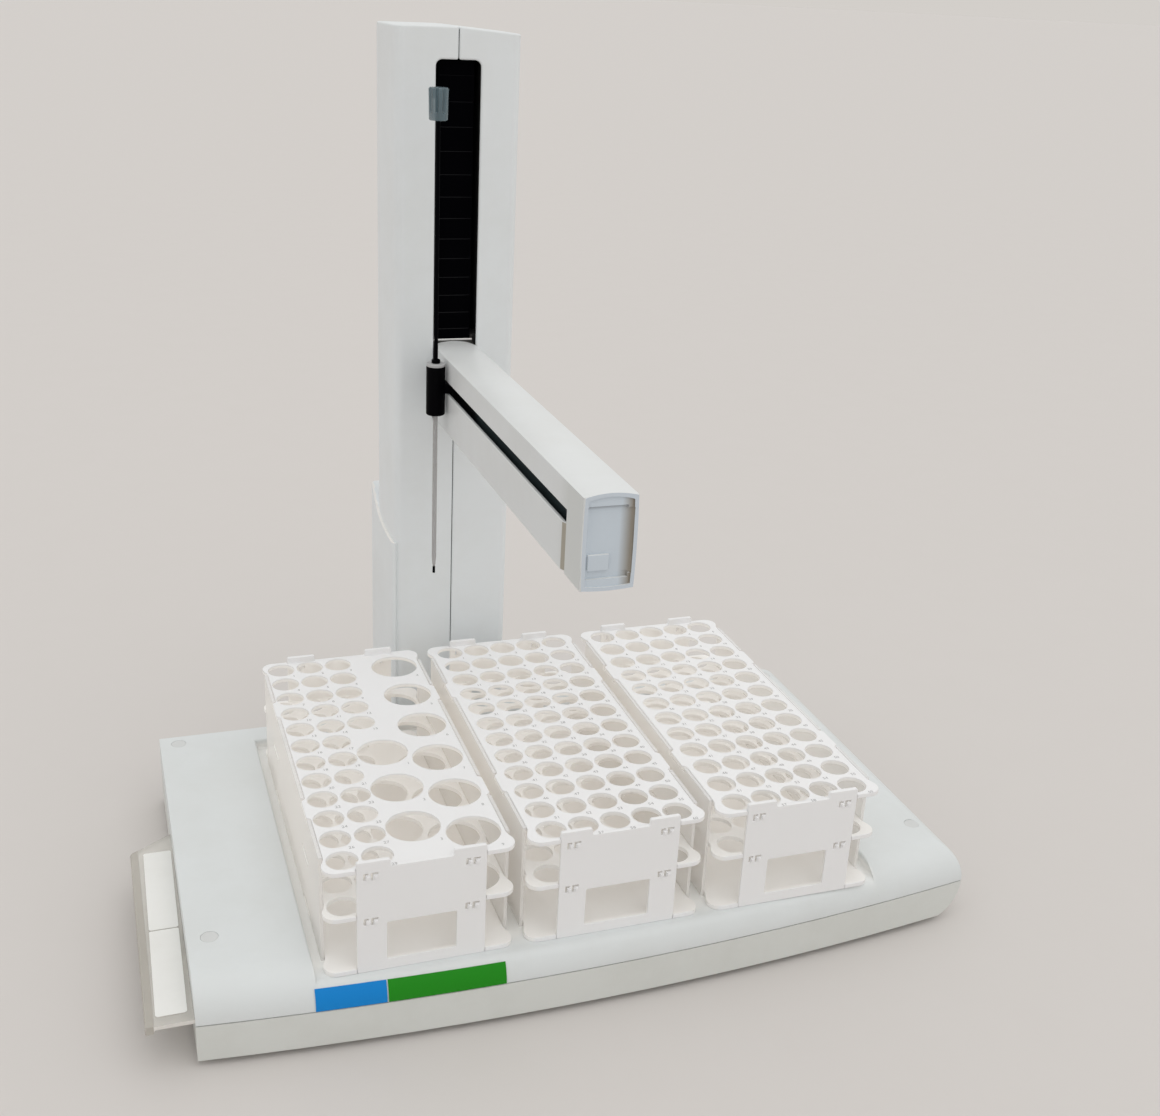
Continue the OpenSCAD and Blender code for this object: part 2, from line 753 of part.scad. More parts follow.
// Arm
module arm_section(inset) {
    intersection() {
        translate([0, arm_h + arm_crown - crown_r]) circle(crown_r - inset, $fn = 256);
        translate([-arm_w / 2 + inset, inset]) square([arm_w - 2 * inset, arm_h + arm_crown]);
    }
}

module arm_shell() color("whitesmoke") {
    difference() {
        along_y(arm_front + cap_t, arm_rear, tower_x, arm_low) arm_section(0);
        along_y(arm_front, arm_rear + eps, tower_x, arm_low) arm_section(arm_wall);
        slab([arm_left - eps, panel_front, arm_low - eps], [arm_left + arm_wall, arm_rear + eps, groove_top]);
    }
    along_x(arm_left + arm_wall + 2, arm_right - arm_wall / 2, y_idler_y, y_belt_z) circle(pin_r);
}

module arm_side_panel() color("whitesmoke")
    slab([arm_left, panel_front + panel_gap, arm_low], [arm_left + arm_wall, arm_rear, panel_top]);

module arm_end_cap() color("lightsteelblue") difference() {
    union() {
        along_y(arm_front, arm_front + cap_t, tower_x, arm_low) arm_section(0);
        along_y(arm_front + cap_t, arm_front + cap_t + 3, tower_x, arm_low) difference() {
            arm_section(arm_wall);
            arm_section(arm_wall * 2);
        }
        along_y(arm_front + cap_t, arm_front + cap_t + 5, tower_x, rail_mid_z) circle(y_rod_d / 2 + 2);
    }
    along_y(arm_front - eps, arm_front + 1.8, tower_x, arm_low) face_recess();
    along_y(arm_front + cap_t - 1, arm_front + cap_t + 6, tower_x, rail_mid_z) circle(y_rod_d / 2);
    slab([arm_band_x - 0.3, arm_front + cap_t, rail_mid_z - arm_band_half - 0.3],
        [arm_band_x + arm_band_t + 0.3, arm_front + cap_t + 6, rail_mid_z + arm_band_half + 0.3]);
}

// Recess in the end cap, with cut corners and a small raised block
recess_in = 3;
recess_cut = 3;
block_w = 9;
block_h = 6.5;

module face_recess() {
    half = arm_w / 2 - recess_in;
    top = arm_h - recess_in - 1;
    difference() {
        polygon([[-half + recess_cut, recess_in], [half - recess_cut, recess_in],
            [half, recess_in + recess_cut], [half, top - recess_cut],
            [half - recess_cut, top], [-half + recess_cut, top],
            [-half, top - recess_cut], [-half, recess_in + recess_cut]]);
        translate([-half + 2, recess_in + 6]) square([block_w, block_h]);
    }
}

module y_rail() color("silver")
    along_y(arm_front + cap_t - 1, arm_rear - tongue_in + 8, tower_x, rail_mid_z) circle(y_rod_d / 2);

y_motor_side = 18;
y_motor_t = 9;

module y_motor() color("dimgray") {
    slab([arm_right - arm_wall - y_motor_t, y_drive_y - y_motor_side / 2, y_belt_z - y_motor_side / 2],
        [arm_right - arm_wall, y_drive_y + y_motor_side / 2, y_belt_z + y_motor_side / 2]);
    along_x(arm_left + arm_wall + 2, arm_right - arm_wall, y_drive_y, y_belt_z) circle(pin_r);
}

y_belt_x = arm_left + arm_wall + 3.5;

module arm_pulley(y) translate([y_belt_x - 0.3, y, y_belt_z]) rotate([0, 90, 0])
    pulley(y_pulley_r - 0.3, belt_w + 0.6, 0.6);

module y_drive_pulley() color("gray") arm_pulley(y_drive_y);

module y_idler_pulley() color("gray") arm_pulley(y_idler_y);

module y_belt() color("black") along_x(y_belt_x, y_belt_x + belt_w, 0, y_belt_z)
    belt_loop(y_idler_y, y_drive_y, y_pulley_r);

module arm_slot_band() color("black")
    slab([arm_band_x, arm_front + cap_t, rail_mid_z - arm_band_half],
        [arm_band_x + arm_band_t, arm_rear - tongue_in + 4, rail_mid_z + arm_band_half]);

// Probe carriage: it straddles the arm's dark band, and its neck comes out of the groove
module y_carriage() color("black") difference() {
    union() {
        slab([car_left, probe_y - y_car_half, car_low], [car_right, probe_y + y_car_half, car_top]);
        slab([probe_x, probe_y - 4, panel_top + 1], [car_left + eps, probe_y + 4, groove_top - 1]);
        slab([y_belt_x, probe_y - 5, y_belt_z + y_pulley_r + belt_t + 0.3],
            [y_belt_x + belt_w, probe_y + 5, car_low + eps]);
    }
    slab([arm_band_x - 0.5, probe_y - y_car_half - eps, rail_mid_z - arm_band_half - 0.5],
        [arm_band_x + arm_band_t + 0.5, probe_y + y_car_half + eps, rail_mid_z + arm_band_half + 0.5]);
    along_y(probe_y - y_car_half - eps, probe_y + y_car_half + eps, tower_x, rail_mid_z)
        circle(y_rod_d / 2 + run_fit);
    upright(probe_x, probe_y, holder_low - eps, holder_top + eps, holder_d / 2);
}

module probe_holder() color("black") difference() {
    upright(probe_x, probe_y, holder_low, holder_top, holder_d / 2);
    upright(probe_x, probe_y, holder_low - eps, holder_top + eps, rod_d / 2 + run_fit);
}

module holder_washer() color("gray") difference() {
    upright(probe_x, probe_y, holder_top, holder_top + washer_h, holder_d / 2 - 0.2);
    upright(probe_x, probe_y, holder_top - eps, holder_top + washer_h + eps, rod_d / 2 + run_fit);
}

module holder_collar() color("black") difference() {
    upright(probe_x, probe_y, holder_top + washer_h, holder_top + washer_h + collar_h, collar_r);
    upright(probe_x, probe_y, holder_top, holder_top + washer_h + collar_h + eps, rod_d / 2 + run_fit);
}

// Probe: support rod, sample tube, tip and ribbed cap
rod_low = holder_low + 1;

module probe_rod() color("black") difference() {
    upright(probe_x, probe_y, rod_low, cap_top - cap_h + 4, rod_d / 2);
    upright(probe_x, probe_y, rod_low - eps, rod_low + 6, tube_od / 2);
}

module probe_tube() color("whitesmoke")
    upright(probe_x, probe_y, tip_z + 3, rod_low + 6, tube_od / 2);

module probe_tip() color("black") upright(probe_x, probe_y, tip_z, tip_z + 3, tube_od / 2 - 0.4);

rib_count = 12;

module probe_cap() color("slategray") difference() {
    union() {
        upright(probe_x, probe_y, cap_top - cap_h, cap_top, cap_d / 2 - 0.7);
        for (i = [0 : rib_count - 1]) translate([probe_x, probe_y, 0]) rotate(i * 360 / rib_count)
            upright(cap_d / 2 - 0.9, 0, cap_top - cap_h, cap_top - 1.5, 0.9);
    }
    upright(probe_x, probe_y, cap_top - cap_h - eps, cap_top - cap_h + 4, rod_d / 2);
    upright(probe_x, probe_y, cap_top - 6, cap_top + eps, cap_d / 2 - 2.2);
}

// Racks: shelves with notches for their end plates; their tabs pass through slots in the long sides
shelf_corner = 7;
mid_shelf_h = 36.4;
mid_shelf_z = bay_z + mid_shelf_h;
rack_top = bay_z + rack_h;
notch_slack = 0.3;
side_t = 2;
side_end = 16;
side_half = rack_l / 2 - side_end;
side_tab_l = 22;
side_tab_y = 59;
window_w = 38;
window_h = 23.5;
window_low = 6.5;
tab_w = 18;

module shelf_plate() difference() {
    rounded([-rack_w / 2, -rack_l / 2], [rack_w / 2, rack_l / 2], shelf_corner);
    for (y = [-rack_l / 2 - eps, rack_l / 2 - sheet]) translate([-end_w / 2, y]) square([end_w, sheet + eps]);
    difference() {
        for (x = [-rack_w / 2 - eps, rack_w / 2 - side_t - notch_slack])
            translate([x, -side_half - notch_slack])
                square([side_t + notch_slack + eps, 2 * (side_half + notch_slack)]);
        for (y = [-side_tab_y, side_tab_y])
            translate([-rack_w, y - side_tab_l / 2]) square([2 * rack_w, side_tab_l]);
    }
}

function hole_x(c) = (c - (rack_cols - 1) / 2) * pitch_x;
function hole_y(r) = ((rack_rows - 1) / 2 - r) * pitch_y;

// Sixty equal tube holes
module tube_grid() for (c = [0 : rack_cols - 1], r = [0 : rack_rows - 1])
    translate([hole_x(c), hole_y(r)]) circle(tube_d / 2);

// Two full columns and a short one of tube holes, with nine staggered bottle holes
column_shift = 3;
bottle_inner_x = 2.4;
bottle_outer_x = 32.8;
bottle_inner_row = 5.9;
bottle_outer_row = 0.55;

module mixed_grid() {
    for (c = [0, 1], r = [0 : rack_rows - 1])
        translate([hole_x(c) - column_shift, hole_y(r)]) circle(tube_d / 2);
    for (r = [0 : 4]) translate([hole_x(2) - column_shift, hole_y(r)]) circle(tube_d / 2);
    for (i = [0 : 2]) translate([bottle_inner_x, hole_y(bottle_inner_row + 2 * i)]) circle(bottle_d / 2);
    for (i = [0 : 5]) translate([bottle_outer_x, hole_y(bottle_outer_row + 2 * i)]) circle(bottle_d / 2);
}

module shelf(z) translate([0, 0, z - sheet]) linear_extrude(sheet) difference() {
    shelf_plate();
    children();
}

module rack_shelves() {
    shelf(mid_shelf_z) children();
    shelf(bay_z + sheet);
}

module rack_ends() for (s = [-1, 1]) translate([0, s > 0 ? rack_l / 2 - sheet : -rack_l / 2, bay_z])
    rotate([90, 0, 0]) translate([0, 0, -sheet]) linear_extrude(sheet) difference() {
        union() {
            translate([-end_w / 2, 0]) square([end_w, rack_h]);
            for (x = [-end_w / 2, end_w / 2 - tab_w])
                translate([x, rack_h - eps]) square([tab_w, tab_h + eps]);
        }
        translate([-window_w / 2, window_low]) square([window_w, window_h]);
    }

// Two long sides, each one panel with a slot for every tab of the three shelves
module rack_sides() for (x = [-rack_w / 2, rack_w / 2 - side_t]) difference() {
    slab([x, -side_half, bay_z], [x + side_t, side_half, rack_top]);
    for (z = [bay_z + sheet, mid_shelf_z, rack_top], y = [-side_tab_y, side_tab_y])
        slab([x - eps, y - side_tab_l / 2 - notch_slack, z - sheet - notch_slack],
            [x + side_t + eps, y + side_tab_l / 2 + notch_slack, z + notch_slack]);
}

module at_rack(i) translate([i * rack_step, 0, 0]) children();

module rack_left_top() color("white") at_rack(-1) shelf(rack_top) mixed_grid();
module rack_left_shelves() color("white") at_rack(-1) rack_shelves() mixed_grid();
module rack_left_ends() color("white") at_rack(-1) rack_ends();
module rack_left_sides() color("white") at_rack(-1) rack_sides();
module rack_middle_top() color("white") at_rack(0) shelf(rack_top) tube_grid();
module rack_middle_shelves() color("white") at_rack(0) rack_shelves() tube_grid();
module rack_middle_ends() color("white") at_rack(0) rack_ends();
module rack_middle_sides() color("white") at_rack(0) rack_sides();
module rack_right_top() color("white") at_rack(1) shelf(rack_top) tube_grid();
module rack_right_shelves() color("white") at_rack(1) rack_shelves() tube_grid();
module rack_right_ends() color("white") at_rack(1) rack_ends();
module rack_right_sides() color("white") at_rack(1) rack_sides();

base_tray();
deck_cover();
base_feet();
screw_plugs();
badge_left();
badge_right();
pump_guard();
pump_motor();
pump_track();
pump_rotor();
pump_rollers();
x_rods();
x_motor();
x_drive_pulley();
x_idler_pulley();
x_belt();
main_board();
rear_panel();
power_switch();
x_carriage();
tower_spine();
tower_shell_left();
tower_shell_right();
tower_boot();
slot_band();
z_rod();
z_motor();
z_screw();
z_carriage();
arm_shell();
arm_side_panel();
arm_end_cap();
y_rail();
y_motor();
y_drive_pulley();
y_idler_pulley();
y_belt();
arm_slot_band();
y_carriage();
probe_holder();
holder_washer();
holder_collar();
probe_rod();
probe_tube();
probe_tip();
probe_cap();
rack_left_top();
rack_left_shelves();
rack_left_ends();
rack_left_sides();
rack_middle_top();
rack_middle_shelves();
rack_middle_ends();
rack_middle_sides();
rack_right_top();
rack_right_shelves();
rack_right_ends();
rack_right_sides();
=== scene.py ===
"""Bench autosampler: the finished look of every piece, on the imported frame, in metres."""
import math

import bmesh
import bpy
from mathutils import Matrix, Vector


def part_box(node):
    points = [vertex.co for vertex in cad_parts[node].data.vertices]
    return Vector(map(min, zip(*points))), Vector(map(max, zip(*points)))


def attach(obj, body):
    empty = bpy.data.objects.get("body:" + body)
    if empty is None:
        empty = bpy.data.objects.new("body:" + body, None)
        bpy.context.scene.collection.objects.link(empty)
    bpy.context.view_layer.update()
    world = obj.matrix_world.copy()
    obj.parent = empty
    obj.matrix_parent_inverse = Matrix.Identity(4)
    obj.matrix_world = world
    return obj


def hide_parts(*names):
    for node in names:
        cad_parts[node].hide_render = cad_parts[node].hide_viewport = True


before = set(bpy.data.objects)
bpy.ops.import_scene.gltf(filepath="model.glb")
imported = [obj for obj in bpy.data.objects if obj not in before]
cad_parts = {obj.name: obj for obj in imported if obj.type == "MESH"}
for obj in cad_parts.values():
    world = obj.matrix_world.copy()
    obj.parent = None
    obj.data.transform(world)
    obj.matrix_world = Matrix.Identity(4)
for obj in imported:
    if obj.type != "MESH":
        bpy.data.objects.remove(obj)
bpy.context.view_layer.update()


# Base tray: the lower half of the base, an open tub with a bowed front wall.
# Injection-moulded off-white plastic with a fine spark-eroded grain.
# Screws from below pull it against the deck cover.

def put(tree, kind, sockets=None, **settings):
    """Add a shader node, set it up and link or fill its inputs."""
    node = tree.nodes.new("ShaderNode" + kind)
    for key, value in settings.items():
        setattr(node, key, value)
    for socket, value in (sockets or {}).items():
        if isinstance(value, bpy.types.NodeSocket):
            tree.links.new(value, node.inputs[socket])
        else:
            node.inputs[socket].default_value = value
    return node


def mixed(tree, share, first, second):
    """Colour between two others, by a share."""
    return put(tree, "Mix", {0: share, 6: first, 7: second}, data_type="RGBA").outputs[2]


def times(tree, first, second):
    """Product of two values."""
    return put(tree, "Math", {0: first, 1: second}, operation="MULTIPLY").outputs[0]


def ramp(tree, value, start=0.0, end=1.0, first=0.0, last=1.0):
    """Value that runs from first to last while another runs from start to end."""
    return put(tree, "MapRange", {"Value": value, "From Min": start, "From Max": end,
                                  "To Min": first, "To Max": last}).outputs[0]


def clouds(tree, scale, detail, roughness=0.5):
    """Noise over the object's own coordinates."""
    where = put(tree, "TexCoord").outputs["Object"]
    return put(tree, "TexNoise", {"Vector": where, "Scale": scale, "Detail": detail,
                                  "Roughness": roughness}).outputs["Fac"]


def effect(name, inputs, outputs):
    """A shader node group with named inputs and outputs."""
    group = bpy.data.node_groups.new(name, "ShaderNodeTree")
    for label, kind, value in inputs:
        socket = group.interface.new_socket(label, in_out="INPUT", socket_type="NodeSocket" + kind)
        socket.default_value = value
    for label, kind in outputs:
        group.interface.new_socket(label, in_out="OUTPUT", socket_type="NodeSocket" + kind)
    return group, group.nodes.new("NodeGroupInput").outputs, group.nodes.new("NodeGroupOutput").inputs


moulding_grain, asked, given = effect(
    "moulding_grain", [("Grains per metre", "Float", 1200.0)], [("Height", "Float"), ("Mottle", "Float")])
moulding_grain.links.new(clouds(moulding_grain, asked["Grains per metre"], 2.0), given["Height"])
moulding_grain.links.new(clouds(moulding_grain, 28.0, 5.0, 0.62), given["Mottle"])

handling_marks, asked, given = effect(
    "handling_marks",
    [("Clean", "Color", (1, 1, 1, 1)), ("Soiled", "Color", (0.7, 0.7, 0.7, 1)), ("Amount", "Float", 0.3)],
    [("Colour", "Color"), ("Mask", "Float")])
patches = ramp(handling_marks, clouds(handling_marks, 17.0, 6.0, 0.68), 0.42, 0.74)
mask = times(handling_marks, patches, asked["Amount"])
handling_marks.links.new(mixed(handling_marks, mask, asked["Clean"], asked["Soiled"]), given["Colour"])
handling_marks.links.new(mask, given["Mask"])


def grained(tree, grains):
    """Outputs of the grain effect in a material."""
    return put(tree, "Group", {"Grains per metre": grains}, node_tree=moulding_grain).outputs


def marked(tree, clean, soiled, amount):
    """Outputs of the handling marks in a material."""
    return put(tree, "Group", {"Clean": (*clean, 1), "Soiled": (*soiled, 1), "Amount": amount},
               node_tree=handling_marks).outputs


def new_finish(name):
    """A fresh material and its node tree."""
    material = bpy.data.materials.new(name)
    material.use_nodes = True
    return material, material.node_tree


def wire(tree, colour, gloss, height, strength, relief, specular=0.5, alpha=1.0, metallic=0.0):
    """Lead colour, roughness and bump into the shader and set its plain sockets."""
    bump = put(tree, "Bump", {"Height": height, "Strength": strength, "Distance": relief}).outputs[0]
    shader = tree.nodes["Principled BSDF"]
    for socket, source in (("Base Color", colour), ("Roughness", gloss), ("Normal", bump)):
        tree.links.new(source, shader.inputs[socket])
    for socket, value in (("Specular IOR Level", specular), ("Alpha", alpha), ("Metallic", metallic)):
        shader.inputs[socket].default_value = value


def uneven(tree, noise, low, high):
    """Roughness that follows a noise, whose values lie mostly between its two limits."""
    return ramp(tree, noise, 0.3, 0.7, low, high)


def moulded(name, clean, soiled, roughness, grains=1200.0, relief=0.00004, amount=0.35, specular=0.5):
    """Moulded plastic or rubber: faint handling marks over a fine grain."""
    material, tree = new_finish(name)
    grain = grained(tree, grains)
    wire(tree, marked(tree, clean, soiled, amount)["Colour"],
         uneven(tree, grain["Mottle"], roughness - 0.06, roughness + 0.07),
         grain["Height"], 0.5, relief, specular)
    return material


def dress(material, *names):
    """Give CAD nodes that keep their own shape a finished material."""
    for name in names:
        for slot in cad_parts[name].material_slots:
            slot.material = material


dress(moulded("lower_shell_plastic", (0.70, 0.715, 0.69), (0.56, 0.56, 0.52), 0.46), "base_tray")


# Feet: four soft pads under the tray, turned from tan rubber with a rounded tread edge.
# Each is pushed into a recess in the floor of the tray.
smooth_angle = 38.0


def finished(name, mesh, material, angle=smooth_angle):
    """Put a mesh in the scene as a smooth-shaded object with its material."""
    mesh.name = name
    mesh.materials.clear()
    mesh.materials.append(material)
    mesh.shade_smooth()
    mesh.set_sharp_from_angle(angle=math.radians(angle))
    piece = bpy.data.objects.new(name, mesh)
    bpy.context.collection.objects.link(piece)
    piece.modifiers.new("even_shading", "WEIGHTED_NORMAL").keep_sharp = True
    return piece


def fitted(name, mesh, material, body, slot, *nodes, angle=smooth_angle):
    """A finished piece that moves with a body and stands for CAD nodes; the slot argument is not used."""
    piece = finished(name, mesh, material, angle)
    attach(piece, body)
    if nodes:
        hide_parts(*nodes)
    return piece


def to_mesh(work):
    """Turn a bmesh into a mesh with merged points and faces that look outward."""
    bmesh.ops.remove_doubles(work, verts=work.verts, dist=1e-7)
    bmesh.ops.dissolve_degenerate(work, edges=work.edges, dist=1e-8)
    bmesh.ops.recalc_face_normals(work, faces=work.faces)
    mesh = bpy.data.meshes.new("work")
    work.to_mesh(mesh)
    work.free()
    return mesh


def rounded(corners, steps=5):
    """Outline through (x, y, radius) corners, each one rounded by its radius."""
    path = []
    for i, (x, y, radius) in enumerate(corners):
        here = Vector((x, y))
        if radius <= 0:
            path.append(here)
            continue
        back = (Vector(corners[i - 1][:2]) - here).normalized()
        ahead = (Vector(corners[(i + 1) % len(corners)][:2]) - here).normalized()
        half = back.angle(ahead) / 2
        centre = here + (back + ahead).normalized() * radius / math.sin(half)
        start = here + back * radius / math.tan(half) - centre
        end = here + ahead * radius / math.tan(half) - centre
        path += [centre + start.lerp(end, k / steps).normalized() * radius for k in range(steps + 1)]
    return path


def circle(x, y, radius, sides=36):
    """Round outline."""
    return [(x + radius * math.cos(a), y + radius * math.sin(a))
            for a in (2 * math.pi * k / sides for k in range(sides))]


def sleeve(inner, outer, foot, head, edges=(0, 0, 0, 0)):
    """Corners of a plain bar's or ring's profile as (radius, height, edge)."""
    spots = (inner, foot), (outer, foot), (outer, head), (inner, head)
    return [(*spot, edge) for spot, edge in zip(spots, edges)]


def turned(corners, *centres, sides=40):
    """Mesh of a rounded profile, turned about an upright axis at each centre."""
    work = bmesh.new()
    for x, y, z in centres:
        rings = []
        for radius, height in rounded(corners):
            spots = circle(x, y, radius, sides) if radius > 1e-6 else [(x, y)]
            rings.append([work.verts.new((*spot, z + height)) for spot in spots])
        for low, high in zip(rings, rings[1:] + rings[:1]):
            for k in range(sides):
                n = k + 1
                face = [low[k % len(low)], low[n % len(low)], high[n % len(high)], high[k % len(high)]]
                face = list(dict.fromkeys(face))
                if len(face) > 2:
                    work.faces.new(face)
    return to_mesh(work)


foot_low, foot_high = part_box("base_feet")
foot_r, foot_h = 0.010, foot_high.z - foot_low.z
tread_edge, foot_edge = 0.0012, 0.0005
foot_spots = [(x, y, foot_low.z) for x in (foot_low.x + foot_r, foot_high.x - foot_r)
              for y in (foot_low.y + foot_r, foot_high.y - foot_r)]
foot_mesh = turned(sleeve(0, foot_r, 0, foot_h, (0, tread_edge, foot_edge, 0)), *foot_spots)
foot_rubber = moulded("foot_rubber", (0.47, 0.36, 0.22), (0.30, 0.23, 0.15), 0.62, 700.0, 0.0001)
fitted("foot_pads", foot_mesh, foot_rubber, "base", "foot_rubber", "base_feet")


# Drive along the base: two ground steel rods, a small motor and a toothed belt with its pulleys.
# The rods sit in brackets of the tray; the belt pulls the tower's carriage from end to end.

def metal(name, colour, dark, roughness, lines_per_metre):
    """Machined or ground metal: tool marks run along the piece, with faint dulled patches."""
    material, tree = new_finish(name)
    where = put(tree, "TexCoord").outputs["Object"]
    along = put(tree, "Mapping", {"Vector": where, "Scale": lines_per_metre}).outputs[0]
    lines = put(tree, "TexNoise", {"Vector": along, "Scale": 1.0, "Detail": 3.0}).outputs["Fac"]
    wire(tree, marked(tree, colour, dark, 0.5)["Colour"],
         uneven(tree, lines, roughness - 0.07, roughness + 0.08), lines, 0.4, 0.00002, metallic=1.0)
    return material


ground_steel = metal("ground_steel", (0.62, 0.63, 0.65), (0.42, 0.42, 0.43), 0.24, (60, 900, 900))
turned_alloy = metal("turned_alloy", (0.66, 0.66, 0.65), (0.46, 0.46, 0.45), 0.34, (700, 700, 90))
motor_paint = moulded("motor_paint", (0.085, 0.088, 0.092), (0.04, 0.04, 0.04), 0.42, 900.0, 0.00005)
belt_rubber = moulded("belt_rubber", (0.028, 0.028, 0.03), (0.06, 0.058, 0.055), 0.6, 1600.0, 0.00008)
dress(ground_steel, "x_rods")
dress(motor_paint, "x_motor")
dress(turned_alloy, "x_drive_pulley", "x_idler_pulley")
dress(belt_rubber, "x_belt")


# Main board: a glass-fibre circuit board on the tray's stand-offs, under the deck.
# Green lacquer over copper; the weave and the tracks show through as a fine grid.
board_lacquer, tree = new_finish("board_lacquer")
tracks = put(tree, "TexBrick", {
    "Vector": put(tree, "TexCoord").outputs["Object"], "Scale": 90.0, "Mortar Size": 0.035,
    "Color1": (0.012, 0.085, 0.03, 1), "Color2": (0.016, 0.11, 0.04, 1),
    "Mortar": (0.06, 0.22, 0.07, 1)}).outputs
wire(tree, tracks["Color"], ramp(tree, grained(tree, 2000.0)["Mottle"], 0.0, 1.0, 0.22, 0.4),
     tracks["Fac"], 0.4, 0.00005)
dress(board_lacquer, "main_board")


# Deck cover: the upper half of the base, one thin moulding with a rolled front edge.
# A shallow bay is pressed into it, its sunken faces painted paler where the racks stand, as painted light
# against the shade round them; the right end rolls down to the seam.
# Its foot stays a hair above the tray, which leaves the fine dark seam line.
deck_low, deck_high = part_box("deck_cover")
left_x, right_x, rear_y = deck_low.x, deck_high.x, deck_high.y
seam_z, deck_z = deck_low.z, deck_high.z
bay_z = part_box("rack_middle_shelves")[0].z
bow_radius, bow_middle = 1.9, -0.030
front_roll, end_roll = deck_z - seam_z, 0.016
bay_half, bay_back = 0.169, 0.127
bay_fillet, bay_lip, rear_edge = 0.0016, 0.0034, 0.0012
deck_wall, seam_gap, deck_edge = 0.0014, 0.0007, 0.0013


def bow(x):
    """Front edge of the base at x."""
    return deck_low.y + bow_radius - math.sqrt(bow_radius ** 2 - (x - bow_middle) ** 2)


def spread(first, last, count):
    """Evenly spaced values, both ends included."""
    return [first + (last - first) * k / count for k in range(count + 1)]


quarter = [(math.sin(a), 1 - math.cos(a)) for a in spread(0, math.pi / 2, 4)]
bay_wall = [(-bay_half - bay_fillet * (1 - s), deck_z - bay_fillet * c) for s, c in quarter]
bay_wall += [(-bay_half + bay_fillet * c, bay_z + bay_fillet * (1 - s)) for s, c in quarter]
columns = [(x, deck_z, deck_z) for x in spread(left_x, -bay_half - bay_fillet, 8)[:-1]]
columns += [(x, z, deck_z) for x, z in bay_wall]
columns += [(x, bay_z, deck_z) for x in spread(-bay_half + bay_fillet, bay_half - bay_fillet, 30)[1:-1]]
columns += [(-x, z, deck_z) for x, z in reversed(bay_wall)]
columns += [(x, deck_z, deck_z) for x in spread(bay_half + bay_fillet, right_x - end_roll, 6)[1:]]
for angle in spread(0, math.pi / 2, 12)[1:]:
    drop = deck_z - end_roll * (1 - math.cos(angle))
    columns.append((right_x - end_roll * (1 - math.sin(angle)), drop, drop))


def deck_profile(x, top, band):
    """Outer face of the deck at one x, from the seam over the front roll to the rear foot."""
    front = bow(x)
    turn = math.asin(min(1.0, (top - seam_z) / front_roll))
    start = math.asin(seam_gap / front_roll)
    crease = Vector((front + front_roll * (1 - math.cos(turn)), top))
    path = [Vector((front + front_roll * (1 - math.cos(a)), seam_z + front_roll * math.sin(a)))
            for a in spread(start, max(start, turn - bay_lip / front_roll), 12)]
    flat = Vector((crease.x + bay_lip, top))
    path += [path[-1].lerp(crease, t).lerp(crease.lerp(flat, t), t) for t in (0.25, 0.5, 0.75, 1.0)]
    path += [Vector((y, top)) for y in spread(flat.x, bay_back - bay_fillet, 8)[1:-1]]
    rise = min(bay_fillet, (band - top) / 2)
    path += [Vector((bay_back - bay_fillet * (1 - s), top + rise * c)) for s, c in quarter]
    path += [Vector((bay_back + bay_fillet * c, band - rise * (1 - s))) for s, c in quarter]
    path += [Vector((rear_y - rear_edge * (1 - s), band - rear_edge * c)) for s, c in quarter]
    return path + [Vector((rear_y, seam_z + seam_gap))]


def skinned(rows, closed=True):
    """Mesh with faces from row to row of points, and one over each end."""
    work = bmesh.new()
    rows = [[work.verts.new(point) for point in row] for row in rows]
    for near, far in zip(rows, rows[1:]):
        for k in range(len(near) if closed else len(near) - 1):
            n = (k + 1) % len(near)
            work.faces.new((near[k], far[k], far[n], near[n]))
    work.faces.new(rows[0])
    work.faces.new(rows[-1][::-1])
    return to_mesh(work)


def baked(data, *steps):
    """Mesh of a mesh, curve or text after its modifiers. A step is (kind, settings)."""
    holder = bpy.data.objects.new("holder", data)
    bpy.context.collection.objects.link(holder)
    for kind, settings in steps:
        step = holder.modifiers.new(kind, kind)
        for key, value in settings.items():
            setattr(step, key, value)
    bpy.context.view_layer.update()
    graph = bpy.context.evaluated_depsgraph_get()
    result = bpy.data.meshes.new_from_object(holder.evaluated_get(graph))
    bpy.data.objects.remove(holder)
    return result


def softened(mesh, width, angle=40.0, segments=3):
    """Round the sharp edges of a mesh."""
    return baked(mesh, ("BEVEL", {"width": width, "segments": segments, "limit_method": "ANGLE",
                                  "angle_limit": math.radians(angle)}))


def block(low, high):
    """Outline, foot and head of a square-edged block between two corners."""
    return [(low[0], low[1]), (high[0], low[1]), (high[0], high[1]), (low[0], high[1])], low[2], high[2]


def cast(*prisms):
    """Mesh of straight prisms (outline, low, high, axes). High may be a rule of the outline's point."""
    work = bmesh.new()
    for outline, low, high, *axes in prisms:
        order = [(axes or ["xyz"])[0].index(letter) for letter in "xyz"]
        foot = [(p[0], p[1], low) for p in outline]
        head = [(p[0], p[1], high(p) if callable(high) else high) for p in outline]
        foot, head = ([work.verts.new([spot[k] for k in order]) for spot in row] for row in (foot, head))
        work.faces.new(foot)
        work.faces.new(head[::-1])
        for k in range(len(outline)):
            work.faces.new((foot[k - 1], foot[k], head[k], head[k - 1]))
    return to_mesh(work)


def carved(mesh, cutter):
    """Cut one mesh out of another."""
    tool = bpy.data.objects.new("tool", cutter)
    bpy.context.collection.objects.link(tool)
    result = baked(mesh, ("BOOLEAN", {"operation": "DIFFERENCE", "solver": "EXACT", "object": tool}))
    bpy.data.objects.remove(tool)
    return result


